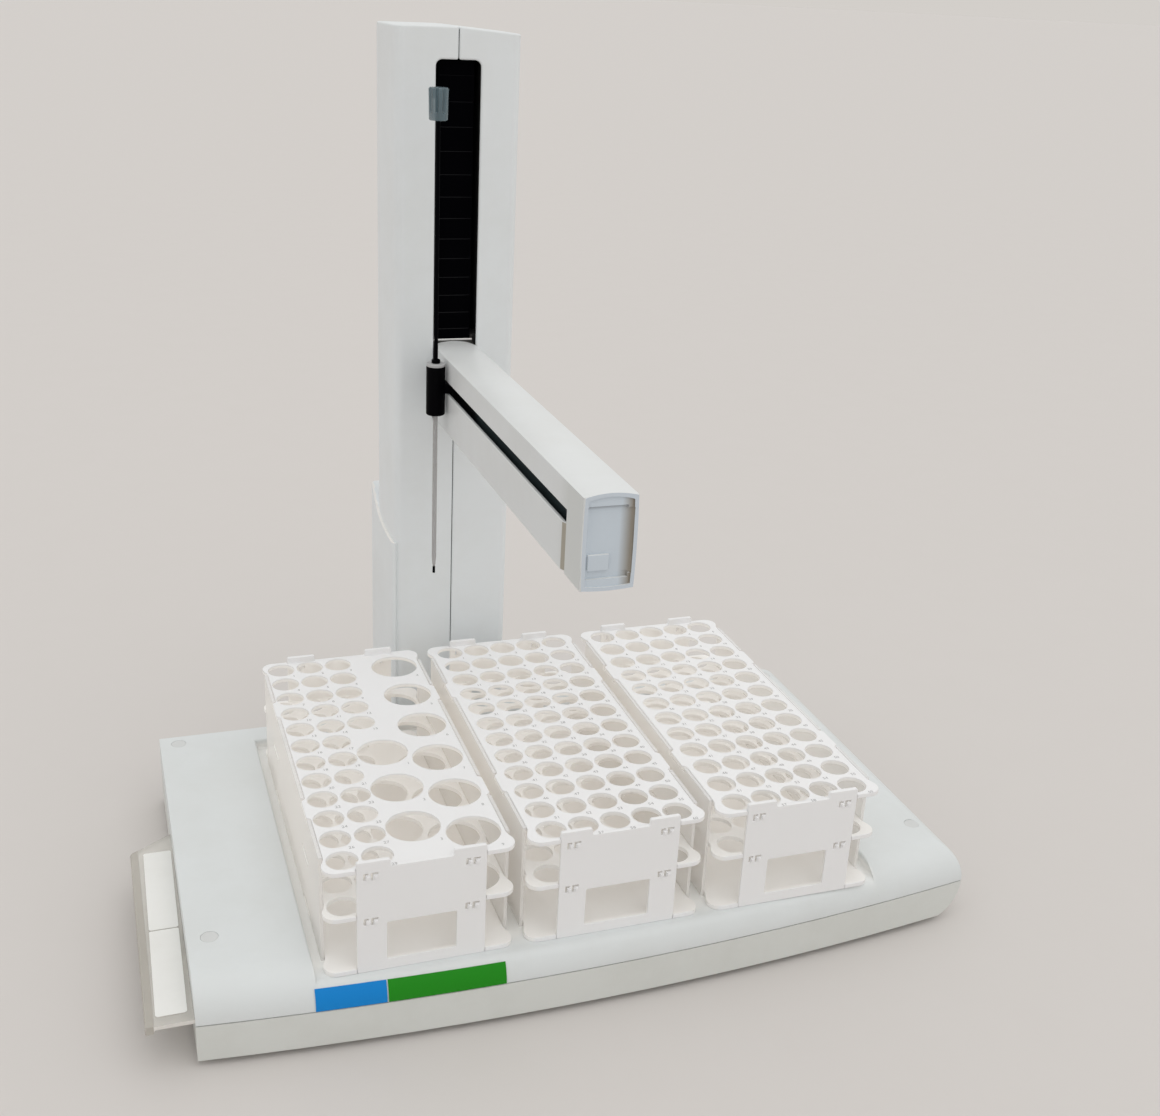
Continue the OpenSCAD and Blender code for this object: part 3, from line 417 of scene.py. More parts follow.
fades = ["Fade in from", "Fade in to", "Fade out from", "Fade out to"]
soft_zone, asked, given = effect(
    "soft_zone",
    [("Colour", "Color", (1, 1, 1, 1)), ("Tone", "Color", (1, 1, 1, 1)), ("Amount", "Float", 1.0)]
    + [(fade, "Vector", (0, 0, 0)) for fade in fades], [("Colour", "Color"), ("Mask", "Float")])
where = put(soft_zone, "TexCoord").outputs["Object"]
# Sockets 6 to 10 of a range node take the vector, the range that it comes from and the one that it goes to.
rise, fall = (
    put(soft_zone, "MapRange", {6: where, 7: asked[start], 8: asked[end], 9: (first,) * 3, 10: (last,) * 3},
        data_type="FLOAT_VECTOR").outputs[1]
    for start, end, first, last in ((*fades[:2], 0, 1), (*fades[2:], 1, 0)))
both = put(soft_zone, "VectorMath", {0: rise, 1: fall}, operation="MULTIPLY").outputs[0]
share = put(soft_zone, "SeparateXYZ", {0: both}).outputs
mask = asked["Amount"]
for axis in "XYZ":
    mask = times(soft_zone, mask, share[axis])
soft_zone.links.new(mixed(soft_zone, mask, asked["Colour"], asked["Tone"]), given["Colour"])
soft_zone.links.new(mask, given["Mask"])


def zoned(tree, colour, tone, amount=1.0, **limits):
    """Outputs of the soft zone in a material. A limit such as x_in or z_out is (from, to) along an axis."""
    values, before, behind = [], (-9.0, -8.0), (8.0, 9.0)
    for way, open_end in (("_in", before), ("_out", behind)):
        values += zip(*(limits.get(axis + way, open_end) for axis in "xyz"))
    return put(tree, "Group", {"Colour": colour, "Tone": tone, "Amount": amount, **dict(zip(fades, values))},
               node_tree=soft_zone).outputs


def tinted(material, tone, amount=1.0, **limits):
    """Paint light or shade into a finish inside a soft zone."""
    tree = material.node_tree
    colour = tree.nodes["Principled BSDF"].inputs["Base Color"]
    tree.links.new(zoned(tree, colour.links[0].from_socket, (*tone, 1), amount, **limits)["Colour"], colour)


plug_r, pocket_r, plug_h, plug_over = 0.00475, 0.00485, 0.0009, 0.002
plug_spots = [(x, y) for y in (-0.081, 0.1345) for x in (-0.219, 0.218)]
slot_low, slot_high = (-0.1559, 0.139, 0.0135), (0.1981, 0.150, 0.031)
panel_low, panel_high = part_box("rear_panel")
panel_room, panel_inside, panel_past = 0.0002, 0.138, 0.150

rows = [[(x, p.x, p.y) for p in deck_profile(x, top, band)] for x, top, band in columns]
deck_mesh = baked(softened(skinned(rows, False), deck_edge, 55.0),
                  ("SOLIDIFY", {"thickness": deck_wall, "offset": -1.0, "use_even_offset": True}))
deck_mesh = carved(deck_mesh, cast(
    block(slot_low, slot_high), block((panel_low.x - panel_room, panel_inside, panel_low.z),
                                      (panel_high.x + panel_room, panel_past, panel_high.z + panel_room))))
pockets = turned(sleeve(0, pocket_r, -plug_h, plug_over), *((x, y, deck_z) for x, y in plug_spots))
deck_plastic = moulded("deck_plastic", (0.725, 0.755, 0.762), (0.635, 0.65, 0.635), 0.42)
# Painted light: the bay's sunken floor and walls get a paler tone that lifts the shade between and round the
# racks.
bay_edge, bay_front, bay_head = bay_half + bay_fillet, (-0.124, -0.112), (deck_z - 0.004, deck_z - 0.001)
tinted(deck_plastic, (0.89, 0.895, 0.88), x_in=(-bay_edge, -bay_half), x_out=(bay_half, bay_edge),
       y_in=bay_front, z_out=bay_head)
fitted("deck_moulding", carved(deck_mesh, pockets), deck_plastic, "base", "shell", "deck_cover")


# Screw plugs: four flush discs that hide the deck's screws.
# Pale grey plastic, slightly domed, pressed into round pockets.

def gathered(*meshes):
    """Several meshes as one."""
    work = bmesh.new()
    for mesh in meshes:
        work.from_mesh(mesh)
    joined = bpy.data.meshes.new("joined")
    work.to_mesh(joined)
    work.free()
    return joined


plug_edge, plug_dome, right_sink = 0.0003, 0.0001, 0.0002
plugs = []
for x, y in plug_spots:
    sink = right_sink if x > 0 else 0.0
    plugs.append(turned([(0, -plug_h, 0), (plug_r, -plug_h, 0), (plug_r, -sink, plug_edge),
                         (0, plug_dome - sink, 0)], (x, y, deck_z)))
plug_plastic = moulded("plug_plastic", (0.67, 0.685, 0.685), (0.57, 0.575, 0.56), 0.5)
fitted("plug_discs", gathered(*plugs), plug_plastic, "base", "plug_grey", "screw_plugs")


# Front strip: two plain colour blocks on the rolled front edge, one blue and one green.
# Printed film with a gloss face, cut to size and laid on the moulding.
films = (("badge_left", "blue_film", (0.004, 0.235, 0.66), (0.006, 0.19, 0.55)),
         ("badge_right", "green_film", (0.012, 0.255, 0.007), (0.012, 0.2, 0.008)))
for node, name, clean, soiled in films:
    dress(moulded(name, clean, soiled, 0.36, 900.0, 0.00001, 0.25, specular=0.2), node)


# Rinse pump: a roller pump on the left wall, with a steel rotor between three white rollers.
# The half-round track and the rotor's hub are moulded; the small motor sits inside the base.
dress(motor_paint, "pump_motor")
dress(moulded("track_plastic", (0.68, 0.66, 0.58), (0.5, 0.48, 0.42), 0.45), "pump_track")
dress(turned_alloy, "pump_rotor")
dress(moulded("roller_plastic", (0.80, 0.80, 0.78), (0.6, 0.6, 0.57), 0.4), "pump_rollers")


# Pump guard: a strip of clear smoky acrylic over the pump, screwed to the left wall.
# Cut from sheet and bent hot, with a thicker rim along its outer edge; its rear end is cut on a slant.
guard_low, guard_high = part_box("pump_guard")
guard_w = guard_high.x - guard_low.x
guard_t, rim_w, rim_h, rim_step = 0.0025, 0.0045, 0.0048, 0.0003
guard_slant, guard_edge = 0.7 * guard_w, 0.0004
rim_crest, rim_round, rim_soft, rim_bend = 0.0001, 0.0016, 0.0006, 0.0009
rim_top, rim_foot, rim_in = guard_high.z, guard_high.z - rim_h, guard_low.x + rim_w
guard_top, guard_under = rim_top - rim_step, rim_top - guard_t
guard_section = rounded([
    (guard_high.x, guard_top, guard_edge), (rim_in + rim_step, guard_top, 0), (rim_in, rim_top, rim_crest),
    (guard_low.x, rim_top, rim_round), (guard_low.x, rim_foot, rim_soft), (rim_in, rim_foot, rim_soft),
    (rim_in, guard_under, rim_bend), (guard_high.x, guard_under, guard_edge)])


def guard_length(x):
    """Length of the guard at x, up to its slanted rear end."""
    return guard_high.y - guard_low.y - guard_slant * (guard_high.x - x) / guard_w


work = bmesh.new()
work.from_mesh(skinned([[(x, guard_low.y + guard_length(x) * share, z) for x, z in guard_section]
                        for share in spread(0, 1, 14)]))
bmesh.ops.bisect_plane(work, geom=work.verts[:] + work.edges[:] + work.faces[:], plane_co=(rim_in, 0, 0),
                       plane_no=(1, 0, 0))
guard_mesh = softened(to_mesh(work), guard_edge, 60.0, 2)


def see_through(name, colour, alpha, roughness, smear=0.5, specular=0.5):
    """See-through plastic sheet or tube with wiped smears on its surface."""
    material, tree = new_finish(name)
    marks = marked(tree, colour, [0.82 * c for c in colour], smear)
    wire(tree, marks["Colour"], ramp(tree, marks["Mask"], 0.0, 1.0, roughness, roughness + 0.2),
         grained(tree, 300.0)["Height"], 0.25, 0.00004, specular, alpha)
    return material


def repainted(piece, material, chosen):
    """Give the faces that a rule picks another material."""
    piece.data.materials.append(material)
    for face in piece.data.polygons:
        if chosen(face):
            face.material_index = len(piece.data.materials) - 1


def on_rim(face):
    """Whether a face of the guard belongs to its rim."""
    return face.center.x < rim_in + rim_crest


smoky_acrylic = see_through("smoky_acrylic", (0.77, 0.75, 0.70), 0.46, 0.14)
guard = fitted("guard_sheet", guard_mesh, smoky_acrylic, "base", "clear_guard", "pump_guard")
repainted(guard, see_through("rim_acrylic", (0.55, 0.52, 0.465), 0.60, 0.2), on_rim)
# Painted highlight: the guard's front and slanted end faces get a paler, more opaque acrylic.
repainted(guard, see_through("edge_highlight_acrylic", (0.86, 0.83, 0.79), 0.85, 0.3),
          lambda face: abs(face.normal.y) > 0.4 and not on_rim(face))


# Guard labels: two blank paper labels stuck end to end along the top of the guard.
# Matt white stock with rounded corners, cut and laid a little on the slant.
label_t, label_lift, label_slant, near_corner, far_corner = 0.0002, 0.00002, 0.002, 0.0015, 0.001
label_left, label_right, slant_start, slant_run = -0.2484, -0.2323, 0.026, 0.147
labels = []
for front, back in ((-0.0425, 0.0355), (-0.1165, -0.0435)):
    lean_front, lean_back = ((slant_start - y) / slant_run * label_slant for y in (front, back))
    outline = rounded([
        (label_left - lean_front, front, near_corner), (label_right - lean_front, front, near_corner),
        (label_right - lean_back, back, far_corner), (label_left - lean_back, back, far_corner)])
    labels.append((outline, guard_top + label_lift, guard_top + label_t))
label_paper = moulded("label_paper", (0.86, 0.86, 0.84), (0.74, 0.73, 0.69), 0.7, 1500.0, 0.00003)
fitted("guard_labels", cast(*labels), label_paper, "base", "rack_white")


# Rear panel and power switch: a grey plate at the rear left corner with a round power inlet.
# The panel is moulded and clipped into the tray and deck; the switch is a black rocker,
# and the inlet has a dark floor with a bright turned pin.
black_plastic = moulded("black_plastic", (0.0011, 0.0011, 0.0019), (0.0035, 0.0035, 0.0035), 0.36, 1400.0,
                        0.00003, specular=0.025)
dress(moulded("panel_plastic", (0.20, 0.205, 0.21), (0.13, 0.13, 0.13), 0.5, 1000.0, 0.00006), "rear_panel")
dress(black_plastic, "power_switch")
inlet = panel_low.x + 0.020, (panel_low.z + panel_high.z) / 2
inlet_floor, inlet_back, pin_end = rear_y - 0.00295, rear_y - 0.0026, rear_y - 0.0003
inlet_r, pin_r, pin_edge = 0.0044, 0.0011, 0.0003
back_disc = cast((circle(*inlet, inlet_r, 32), inlet_floor, inlet_back, "xzy"))
pin = softened(cast((circle(*inlet, pin_r, 32), inlet_back, pin_end, "xzy")), pin_edge)
fitted("inlet_back", back_disc, black_plastic, "base", "black_plastic")
fitted("inlet_pin", pin, turned_alloy, "base", "steel")


# Tower carriage and spine: the sliding block under the rear slot and the bent steel spine on it.
# The block is machined alloy with plain bores for the rods; the spine is painted black.
dress(turned_alloy, "x_carriage")
dress(moulded("spine_paint", (0.012, 0.012, 0.013), (0.03, 0.03, 0.03), 0.5, 1000.0), "tower_spine")


# Tower shells: two mirrored half shells that close round the spine, with a low sloped roof.
# Moulded off-white plastic; the halves meet on the centre line and leave a thin seam.
shell_low, shell_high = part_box("tower_shell_left")[0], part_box("tower_shell_right")[1]
tower_x = (shell_low.x + shell_high.x) / 2
tower_half = (shell_high.x - shell_low.x) / 2
tower_corner, tower_wall, half_gap, tower_edge = 0.0055, 0.0025, 0.0002, 0.0013
left_fall, right_fall = 0.0003, 0.0030
lining_in, lining_front, lining_top = tower_wall + 0.0001, 0.0005, 0.006
climb_half, climb_low, climb_top, climb_corner = 0.01425, 0.2625, 0.489, 0.004
past = 0.001


def roof(inset):
    """Height of the roof over a point of the tower's outline: level on the left, falling to the right."""
    def height(p):
        out = (p[0] - tower_x) / tower_half
        return shell_high.z - inset - (right_fall if out > 0 else left_fall) * abs(out)
    return height


def tower_half_shell(side):
    """One half shell, hollow, with its half of the climbing slot."""
    def plan(seam, outer, front, back, corner):
        return rounded([(seam, front, 0), (outer, front, corner), (outer, back, corner), (seam, back, 0)], 8)

    seam, outer = tower_x + side * half_gap, tower_x + side * tower_half
    front, back = shell_low.y + tower_wall, shell_high.y - tower_wall
    left, right = tower_x - climb_half, tower_x + climb_half
    solid = cast((plan(seam, outer, shell_low.y, shell_high.y, tower_corner), shell_low.z, roof(0)))
    hollow = cast((plan(seam - side * 0.0001, outer - side * tower_wall, front, back,
                        tower_corner - tower_wall), shell_low.z - past, roof(tower_wall)))
    slot = cast((rounded([(left, climb_low, 0), (right, climb_low, 0), (right, climb_top, climb_corner),
                          (left, climb_top, climb_corner)]), shell_low.y - past, front + past, "xzy"))
    return softened(carved(carved(solid, hollow), slot), tower_edge)


def lined(piece, low, high, lining):
    """Give the faces that look into a box, such as the inner walls of a shell, a second material."""
    look = 0.003

    def looks_in(face):
        ahead = face.center + look * face.normal
        return all(low[k] < ahead[k] < high[k] for k in range(3))
    repainted(piece, lining, looks_in)


inner_shade_black = moulded("inner_shade_black", (0.0012, 0.0012, 0.0018), (0.003, 0.003, 0.003), 0.7,
                      specular=0.01)
tower_plastic = moulded("tower_plastic", (0.795, 0.827, 0.845), (0.70, 0.715, 0.70), 0.42)
for side, hand in ((-1, "left"), (1, "right")):
    half_shell = fitted("tower_half_" + hand, tower_half_shell(side), tower_plastic, "tower", "shell",
                        "tower_shell_" + hand)
    # Painted shade: the inner walls of each white half shell are made black, so the inside looks dark through
    # the slot.
    lined(half_shell, (shell_low.x + lining_in, shell_low.y + lining_front, shell_low.z + past),
          (shell_high.x - lining_in, shell_high.y - lining_in, shell_high.z - lining_top), inner_shade_black)


# Tower boot: the deep cover round the tower's lower rear, with a top edge that sweeps up to the rear.
# Moulded in one piece, open below, and slid up over the two half shells.
boot_low, boot_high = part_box("tower_boot")
boot_over, boot_wall, boot_roof, boot_edge = 0.0018, 0.0025, 0.003, 0.0005
boot_back, boot_corner, right_start = boot_high.y - 0.003, 0.0045, 0.166
wrap_start, boot_front = math.radians(44), 0.1477
sweep_z, sweep_power, sweep_end = 0.176, 3.8, boot_back - 0.003
boot_left, boot_right = shell_low.x - boot_over, shell_high.x + boot_over


def sweep(y):
    """Height of the boot's top edge at y."""
    share = max(0.0, min(1.0, (y - boot_front) / (sweep_end - boot_front)))
    return sweep_z + (boot_high.z - sweep_z) * share ** sweep_power


def arc(x, y, radius, first, last, count):
    """Points round a centre; the angle counts from the front towards the left."""
    return [Vector((x - radius * math.sin(a), y - radius * math.cos(a))) for a in spread(first, last, count)]


def boot_plan():
    """Pairs of points round the tower from its left front corner: the boot's face and the tower's face."""
    inner_x, near_y = shell_low.x + tower_corner, shell_low.y + tower_corner
    far_y, bend_y = shell_high.y - tower_corner, boot_back - boot_corner
    quarter_turn, half_turn = math.pi / 2, math.pi
    plan = list(zip(*(arc(inner_x, near_y, radius, wrap_start, quarter_turn, 8)
                      for radius in (tower_corner + boot_over, tower_corner))))
    plan += [(Vector((boot_left, y)), Vector((shell_low.x, y))) for y in spread(near_y, far_y, 24)[1:]]
    outer = [Vector((boot_left, y)) for y in spread(far_y, bend_y, 6)[1:]]
    outer += arc(boot_left + boot_corner, bend_y, boot_corner, quarter_turn, half_turn, 8)[1:]
    bend = list(zip(outer, arc(inner_x, far_y, tower_corner, quarter_turn, half_turn, len(outer))[1:]))
    across = zip(spread(boot_left + boot_corner, boot_right - boot_corner, 10)[1:],
                 spread(inner_x, shell_high.x - tower_corner, 10)[1:])
    plan += bend + [(Vector((a, boot_back)), Vector((b, shell_high.y))) for a, b in across]
    plan += [tuple(Vector((2 * tower_x - p.x, p.y)) for p in pair) for pair in reversed(bend[:-1])]
    plan += [(Vector((boot_right, y)), Vector((shell_high.x, y))) for y in spread(far_y, right_start, 14)]
    return plan


stations = []
for face, tower in boot_plan():
    inward = (tower - face).normalized()
    hollow = face + inward * min(boot_wall, (tower - face).length)
    ring = [(face, boot_low.z)]
    ring += [(face + inward * boot_edge * (1 - math.cos(a)), sweep(face.y) - boot_edge * (1 - math.sin(a)))
             for a in spread(0, math.pi / 2, 3)]
    roof_line = [ring[-1][0].lerp(tower, t) for t in (0.25, 0.5, 0.75, 1.0)]
    ring += [(p, sweep(p.y)) for p in roof_line]
    under = sweep(tower.y) - boot_roof
    ring += [(tower, under), (hollow, under), (hollow, boot_low.z)]
    stations.append([(p.x, p.y, z) for p, z in ring])
boot = fitted("boot_moulding", skinned(stations), tower_plastic, "tower", "shell", "tower_boot")
# Painted highlight: up-facing faces of the boot's top edge on the left side get a paler copy of the plastic.
edge_highlight_plastic = moulded("edge_highlight_plastic", (0.90, 0.885, 0.86), (0.82, 0.80, 0.77), 0.42)
repainted(boot, edge_highlight_plastic, lambda face: face.normal.z > 0.2 and face.center.x < shell_low.x)


# Slot band: the slatted black strip that closes the climbing slot behind the arm.
# Matt plastic slats on a tape, stretched from the spine's foot to its top plate.
band_plastic = moulded("band_plastic", (0.0007, 0.0007, 0.0014), (0.0016, 0.0016, 0.0022), 0.4, 500.0,
                       0.00003, specular=0.01)
slat_highlight = moulded("slat_highlight", (0.006, 0.006, 0.007), (0.004, 0.004, 0.005), 0.4, 500.0, 0.00003,
                    specular=0.1)
band_low, band_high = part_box("slot_band")
slat_step, wide_slat, narrow_slat, slat_shrink = 0.0004, 0.0155, 0.0103, 0.00043
slat_slope, slat_lip, top_slat = 0.0012, 0.0004, 0.0093
slat_edges = [climb_top - top_slat]
while slat_edges[0] - narrow_slat > band_low.z:
    pitch = max(narrow_slat, wide_slat - slat_shrink * (len(slat_edges) - 1))
    slat_edges.insert(0, slat_edges[0] - pitch)
slat_edges.insert(0, band_low.z)
slat_path = [(band_high.y, band_low.z)]
for low, high in zip(slat_edges, slat_edges[1:] + [band_high.z]):
    slat_path += [(band_low.y + slat_step, low), (band_low.y, high - slat_slope),
                  (band_low.y, high - slat_lip)]
slat_path += [(band_low.y + slat_step, band_high.z), (band_high.y, band_high.z)]
slats = fitted("slot_slats", cast((slat_path, band_low.x, band_high.x, "yzx")), band_plastic, "tower",
               "dark_band", "slot_band", angle=20.0)
# Painted highlight: slat faces that look forward and up get a less black copy of the band plastic.
repainted(slats, slat_highlight, lambda face: face.normal.y < -0.3 and face.normal.z > 0.3)


# Climbing drive: a guide rod, a lead screw and the motor that turns it, inside the tower.
# Blackened steel in bearings of the spine; the painted motor is screwed to the spine's foot.
black_steel = metal("black_steel", (0.035, 0.035, 0.036), (0.06, 0.058, 0.055), 0.5, (900, 900, 60))
dress(black_steel, "z_rod", "z_screw")
dress(motor_paint, "z_motor")


# Arm root: the block that climbs the rod and the screw and carries the arm through the slot.
# A dark-painted casting that straddles the slot band, with a bright steel bar along its front edge.
root_low, root_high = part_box("z_carriage")
arm_low, arm_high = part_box("arm_shell")
arm_tail, root_drop, root_edge = 0.1524, 0.0034, 0.0005
root_half, car_front = 0.0135, 0.1557
channel_half, channel_front = 0.0121, 0.1535
bar_low, bar_high, bar_edge = arm_high.z + 0.0003, arm_high.z + 0.0016, 0.0003
ahead, below, above, aside = arm_high.y - 0.002, root_low.z - 0.002, root_high.z + 0.002, 0.05
root_mesh = cast(block((root_low.x, arm_high.y, root_low.z),
                       (root_high.x, root_high.y, root_high.z - root_drop)))
for left, right, front, back, foot in (
        (-aside, -root_half, ahead, car_front, below), (root_half, aside, ahead, car_front, below),
        (-channel_half, channel_half, channel_front, car_front, below),
        (-aside, aside, ahead, arm_tail, below), (-aside, aside, ahead, channel_front, bar_low)):
    root_mesh = carved(root_mesh, cast(block((tower_x + left, front, foot), (tower_x + right, back, above))))
for node, room in (("z_rod", 0.0001), ("z_screw", 0.0003)):
    low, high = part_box(node)
    bore_r = (high.x - low.x) / 2 + room
    middle = (low + high) / 2
    root_mesh = carved(root_mesh, turned(sleeve(0, bore_r, below, above), (middle.x, middle.y, 0)))
root_paint = moulded("root_paint", (0.05, 0.048, 0.046), (0.09, 0.085, 0.08), 0.5)
fitted("arm_root", softened(root_mesh, root_edge), root_paint, "arm", "carriage_grey", "z_carriage")
bar_half, bar_front, bar_back = root_half - 0.0004, arm_tail + 0.0002, channel_front - 0.0001
bar_mesh = cast(block((tower_x - bar_half, bar_front, bar_low), (tower_x + bar_half, bar_back, bar_high)))
bar_steel = metal("bar_steel", (0.86, 0.85, 0.84), (0.7, 0.68, 0.66), 0.2, (40, 600, 600))
fitted("root_bar", softened(bar_mesh, bar_edge), bar_steel, "arm", "steel")


# Arm shell: a long hollow moulding with a crowned top, open along its left flank.
# The flank is closed below the groove by a loose panel, and in front by a solid-walled block.
cap_low, cap_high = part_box("arm_end_cap")
arm_wall, arm_crown, arm_front, arm_edge = 0.002, 0.002, 0.0012, 0.0006
arm_corner, groove_top, block_end, tail_r = 0.0008, 0.298, -0.128, 0.007
arm_mid = (arm_low.x + arm_high.x) / 2
arm_half = (arm_high.x - arm_low.x) / 2


def arm_section(inset, corner):
    """Cross-section of the arm: flat sides and foot under a shallow crown."""
    half, foot = arm_half - inset, arm_low.z + inset
    shoulder = arm_high.z - arm_crown - inset
    crown = [(arm_mid + half * t, arm_high.z - inset - arm_crown * t * t, 0) for t in spread(1, -1, 14)[1:-1]]
    return rounded([(arm_mid - half, foot, corner), (arm_mid + half, foot, corner),
                    (arm_mid + half, shoulder, 0)] + crown + [(arm_mid - half, shoulder, 0)])


arm_mesh = cast((arm_section(0, arm_corner), cap_low.y + arm_front, arm_tail, "xzy"))
arm_mesh = carved(arm_mesh, cast((arm_section(arm_wall, 0), cap_low.y, arm_tail - arm_wall, "xzy")))
arm_mesh = carved(arm_mesh, cast(block((arm_low.x - past, block_end, arm_low.z - past),
                                       (arm_low.x + arm_wall, arm_high.y, groove_top))))
nooks = []
for side in (-1, 1):
    outer = arm_mid + side * (arm_half + 0.0001)
    nook = [(outer - side * tail_r * (1 - math.sin(a)), arm_tail - tail_r * (1 - math.cos(a)))
            for a in spread(0, math.pi / 2, 8)]
    nook += [(outer + side * past, arm_tail - tail_r), (outer + side * past, arm_tail + past),
             (outer - side * tail_r, arm_tail + past)]
    nooks.append((nook, arm_low.z - past, arm_high.z + past))
arm_mesh = softened(carved(arm_mesh, cast(*nooks)), arm_edge)
arm_plastic = moulded("arm_plastic", (0.775, 0.795, 0.80), (0.69, 0.695, 0.68), 0.4)
# Painted shade: a darker copy of the arm's plastic for the faces on its left flank.
shaded_flank_plastic = moulded("shaded_flank_plastic", (0.700, 0.722, 0.732), (0.62, 0.625, 0.61), 0.4)
# Painted shade: the flank is painted darker still along the front block.
tinted(shaded_flank_plastic, (0.615, 0.635, 0.63), y_out=(block_end - 0.001, block_end + 0.012))
arm = fitted("arm_moulding", arm_mesh, arm_plastic, "arm", "shell", "arm_shell")
inner_wall, inner_crown = arm_wall + 0.0002, arm_wall + arm_crown + 0.0005
# Painted shade: the arm's inner walls are made black as well.
lined(arm, (arm_low.x + inner_wall, cap_low.y, arm_low.z + inner_wall),
      (arm_high.x - inner_wall, arm_tail - inner_wall, arm_high.z - inner_crown), inner_shade_black)
# Left-facing outer faces take the darker copy as painted shade.
repainted(arm, shaded_flank_plastic, lambda face: face.normal.x < -0.9 and face.center.x < arm_low.x + 0.0005)


# Arm side panel: the loose strip that closes the arm's left flank below the groove.
# A flat moulding screwed from inside; its front end is cut on a slant, and that slanted face is painted dark
# beige as the groove's shade.
flank_low, flank_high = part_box("arm_side_panel")
flank_slant, flank_edge = 0.0045, 0.0006
flank_mesh = cast(([(flank_low.x, flank_low.y + flank_slant), (flank_high.x, flank_low.y),
                    (flank_high.x, flank_high.y), (flank_low.x, flank_high.y)], flank_low.z, flank_high.z))
# The panel takes the darker flank copy, painted shade on the arm's left side.
flank = fitted("arm_flank", softened(flank_mesh, flank_edge), shaded_flank_plastic, "arm", "shell", "arm_side_panel")
repainted(flank, moulded("groove_shade", (0.40, 0.37, 0.31), (0.30, 0.28, 0.24), 0.5),
          lambda face: face.normal.x < -0.3 and face.normal.y < -0.3 and face.area > 1e-5)


# Arm end cap: a moulding plugged into the front end of the arm, with a flange and a thin blue-grey rim.
# Its face is dished: a shallow step with a ledge at head and foot, then a deep floor that coves up
# to both sides, with a small raised pad at the lower left.
cap_face, face_rim, step_deep, dish_deep = 0.004, 0.0019, 0.0009, 0.0027
cap_flange, plug_inset, cap_edge = 0.0018, 0.0012, 0.0003
cap_barrel, cap_belly = 0.0005, 0.0008
cap_half = (cap_high.x - cap_low.x) / 2 - 0.0001
cap_left, cap_right = arm_mid - cap_half, arm_mid + cap_half
left_cove, right_cove, no_cove = 0.0030, 0.0062, 0.0004
# Foot, head, right end and right-hand cove of each cut into the face.
dish_cuts = [(0.0060, 0.0090, 0.0243, no_cove), (0.0082, 0.0420, 0.0258, right_cove),
             (0.0410, 0.0433, 0.0228, no_cove)]
pad_low, pad_high, pad_deep = (0.0036, 0.0103), (0.0144, 0.0185), 0.0012


def cap_outline(inset):
    """The cap from the front: barrel sides, a crowned head and a slightly bellied foot."""
    half, foot, head = cap_half - inset, cap_low.z + inset, cap_high.z - inset
    low, high = foot + cap_belly, head - arm_crown
    side = [(half - cap_barrel * (2 * t - 1) ** 2, low + (high - low) * t) for t in spread(0, 1, 10)]
    belly = [(arm_mid + half * t, foot + cap_belly * t * t) for t in spread(-0.9, 0.9, 8)]
    crown = [(arm_mid + half * t, head - arm_crown * t * t) for t in spread(0.9, -0.9, 10)]
    return (belly + [(arm_mid + x, z) for x, z in side] + crown
            + [(arm_mid - x, z) for x, z in reversed(side)])


def dish_plan(right, cove):
    """Plan of the dish from its left cove over the floor to its right-hand cove."""
    ledge, deep = cap_low.y + step_deep, dish_deep - step_deep
    left, right = cap_left + face_rim + 0.0002, cap_left + right
    turn = spread(0, math.pi / 2, 8)
    plan = [(left + left_cove * (1 - math.cos(a)), ledge + deep * math.sin(a)) for a in turn]
    plan += [(right - cove * (1 - math.cos(a)), ledge + deep * math.sin(a)) for a in reversed(turn)]
    return plan + [(right, cap_low.y - past), (left, cap_low.y - past)]


cap_mesh = cast((cap_outline(0), cap_low.y, cap_low.y + cap_face, "xzy"))
cap_mesh = carved(cap_mesh, cast((cap_outline(face_rim), cap_low.y - past, cap_low.y + step_deep, "xzy")))
behind, end = cap_low.y + cap_flange, cap_low.y + cap_face + past
plug_head, clear = cap_high.z - arm_crown - plug_inset, 0.002
for left, right, foot, head in (
        (cap_left - clear, cap_left + plug_inset, cap_low.z - clear, cap_high.z + clear),
        (cap_right - plug_inset, cap_right + clear, cap_low.z - clear, cap_high.z + clear),
        (cap_left - clear, cap_right + clear, cap_low.z - clear, cap_low.z + plug_inset),
        (cap_left - clear, cap_right + clear, plug_head, cap_high.z + clear)):
    cap_mesh = carved(cap_mesh, cast(block((left, behind, foot), (right, end, head))))
for foot, head, right, cove in dish_cuts:
    cap_mesh = carved(cap_mesh, cast((dish_plan(right, cove), cap_low.z + foot, cap_low.z + head)))
pad_mesh = cast(block((cap_left + pad_low[0], cap_low.y + pad_deep, cap_low.z + pad_low[1]),
                      (cap_left + pad_high[0], cap_low.y + dish_deep + 0.0002, cap_low.z + pad_high[1])))
work = bmesh.new()
work.from_mesh(softened(cap_mesh, cap_edge, 40.0, 2))
work.from_mesh(softened(pad_mesh, cap_edge))
cap_plastic = moulded("cap_plastic", (0.605, 0.675, 0.745), (0.52, 0.57, 0.62), 0.42)
ledge_z = cap_low.z + dish_cuts[-1][1]
cove_shade = cap_left + 0.0195, cap_left + 0.0250
ledge_shade, ledge_depth = (ledge_z - 0.0022, ledge_z - 0.0004), (cap_low.y + 0.0016, cap_low.y + 0.0022)
tinted(cap_plastic, (0.30, 0.27, 0.225), x_in=cove_shade)
tinted(cap_plastic, (0.32, 0.34, 0.37), 0.75, z_in=ledge_shade, y_in=ledge_depth)
rim_plastic = moulded("rim_plastic", (0.60, 0.665, 0.735), (0.53, 0.58, 0.63), 0.42)
end_cap = fitted("arm_cap", to_mesh(work), rim_plastic, "arm", "cap_grey", "arm_end_cap")
lined(end_cap, (cap_left + face_rim, cap_low.y - 0.0025, cap_low.z + face_rim),
      (cap_right - face_rim, cap_low.y + cap_face, cap_high.z - face_rim), cap_plastic)
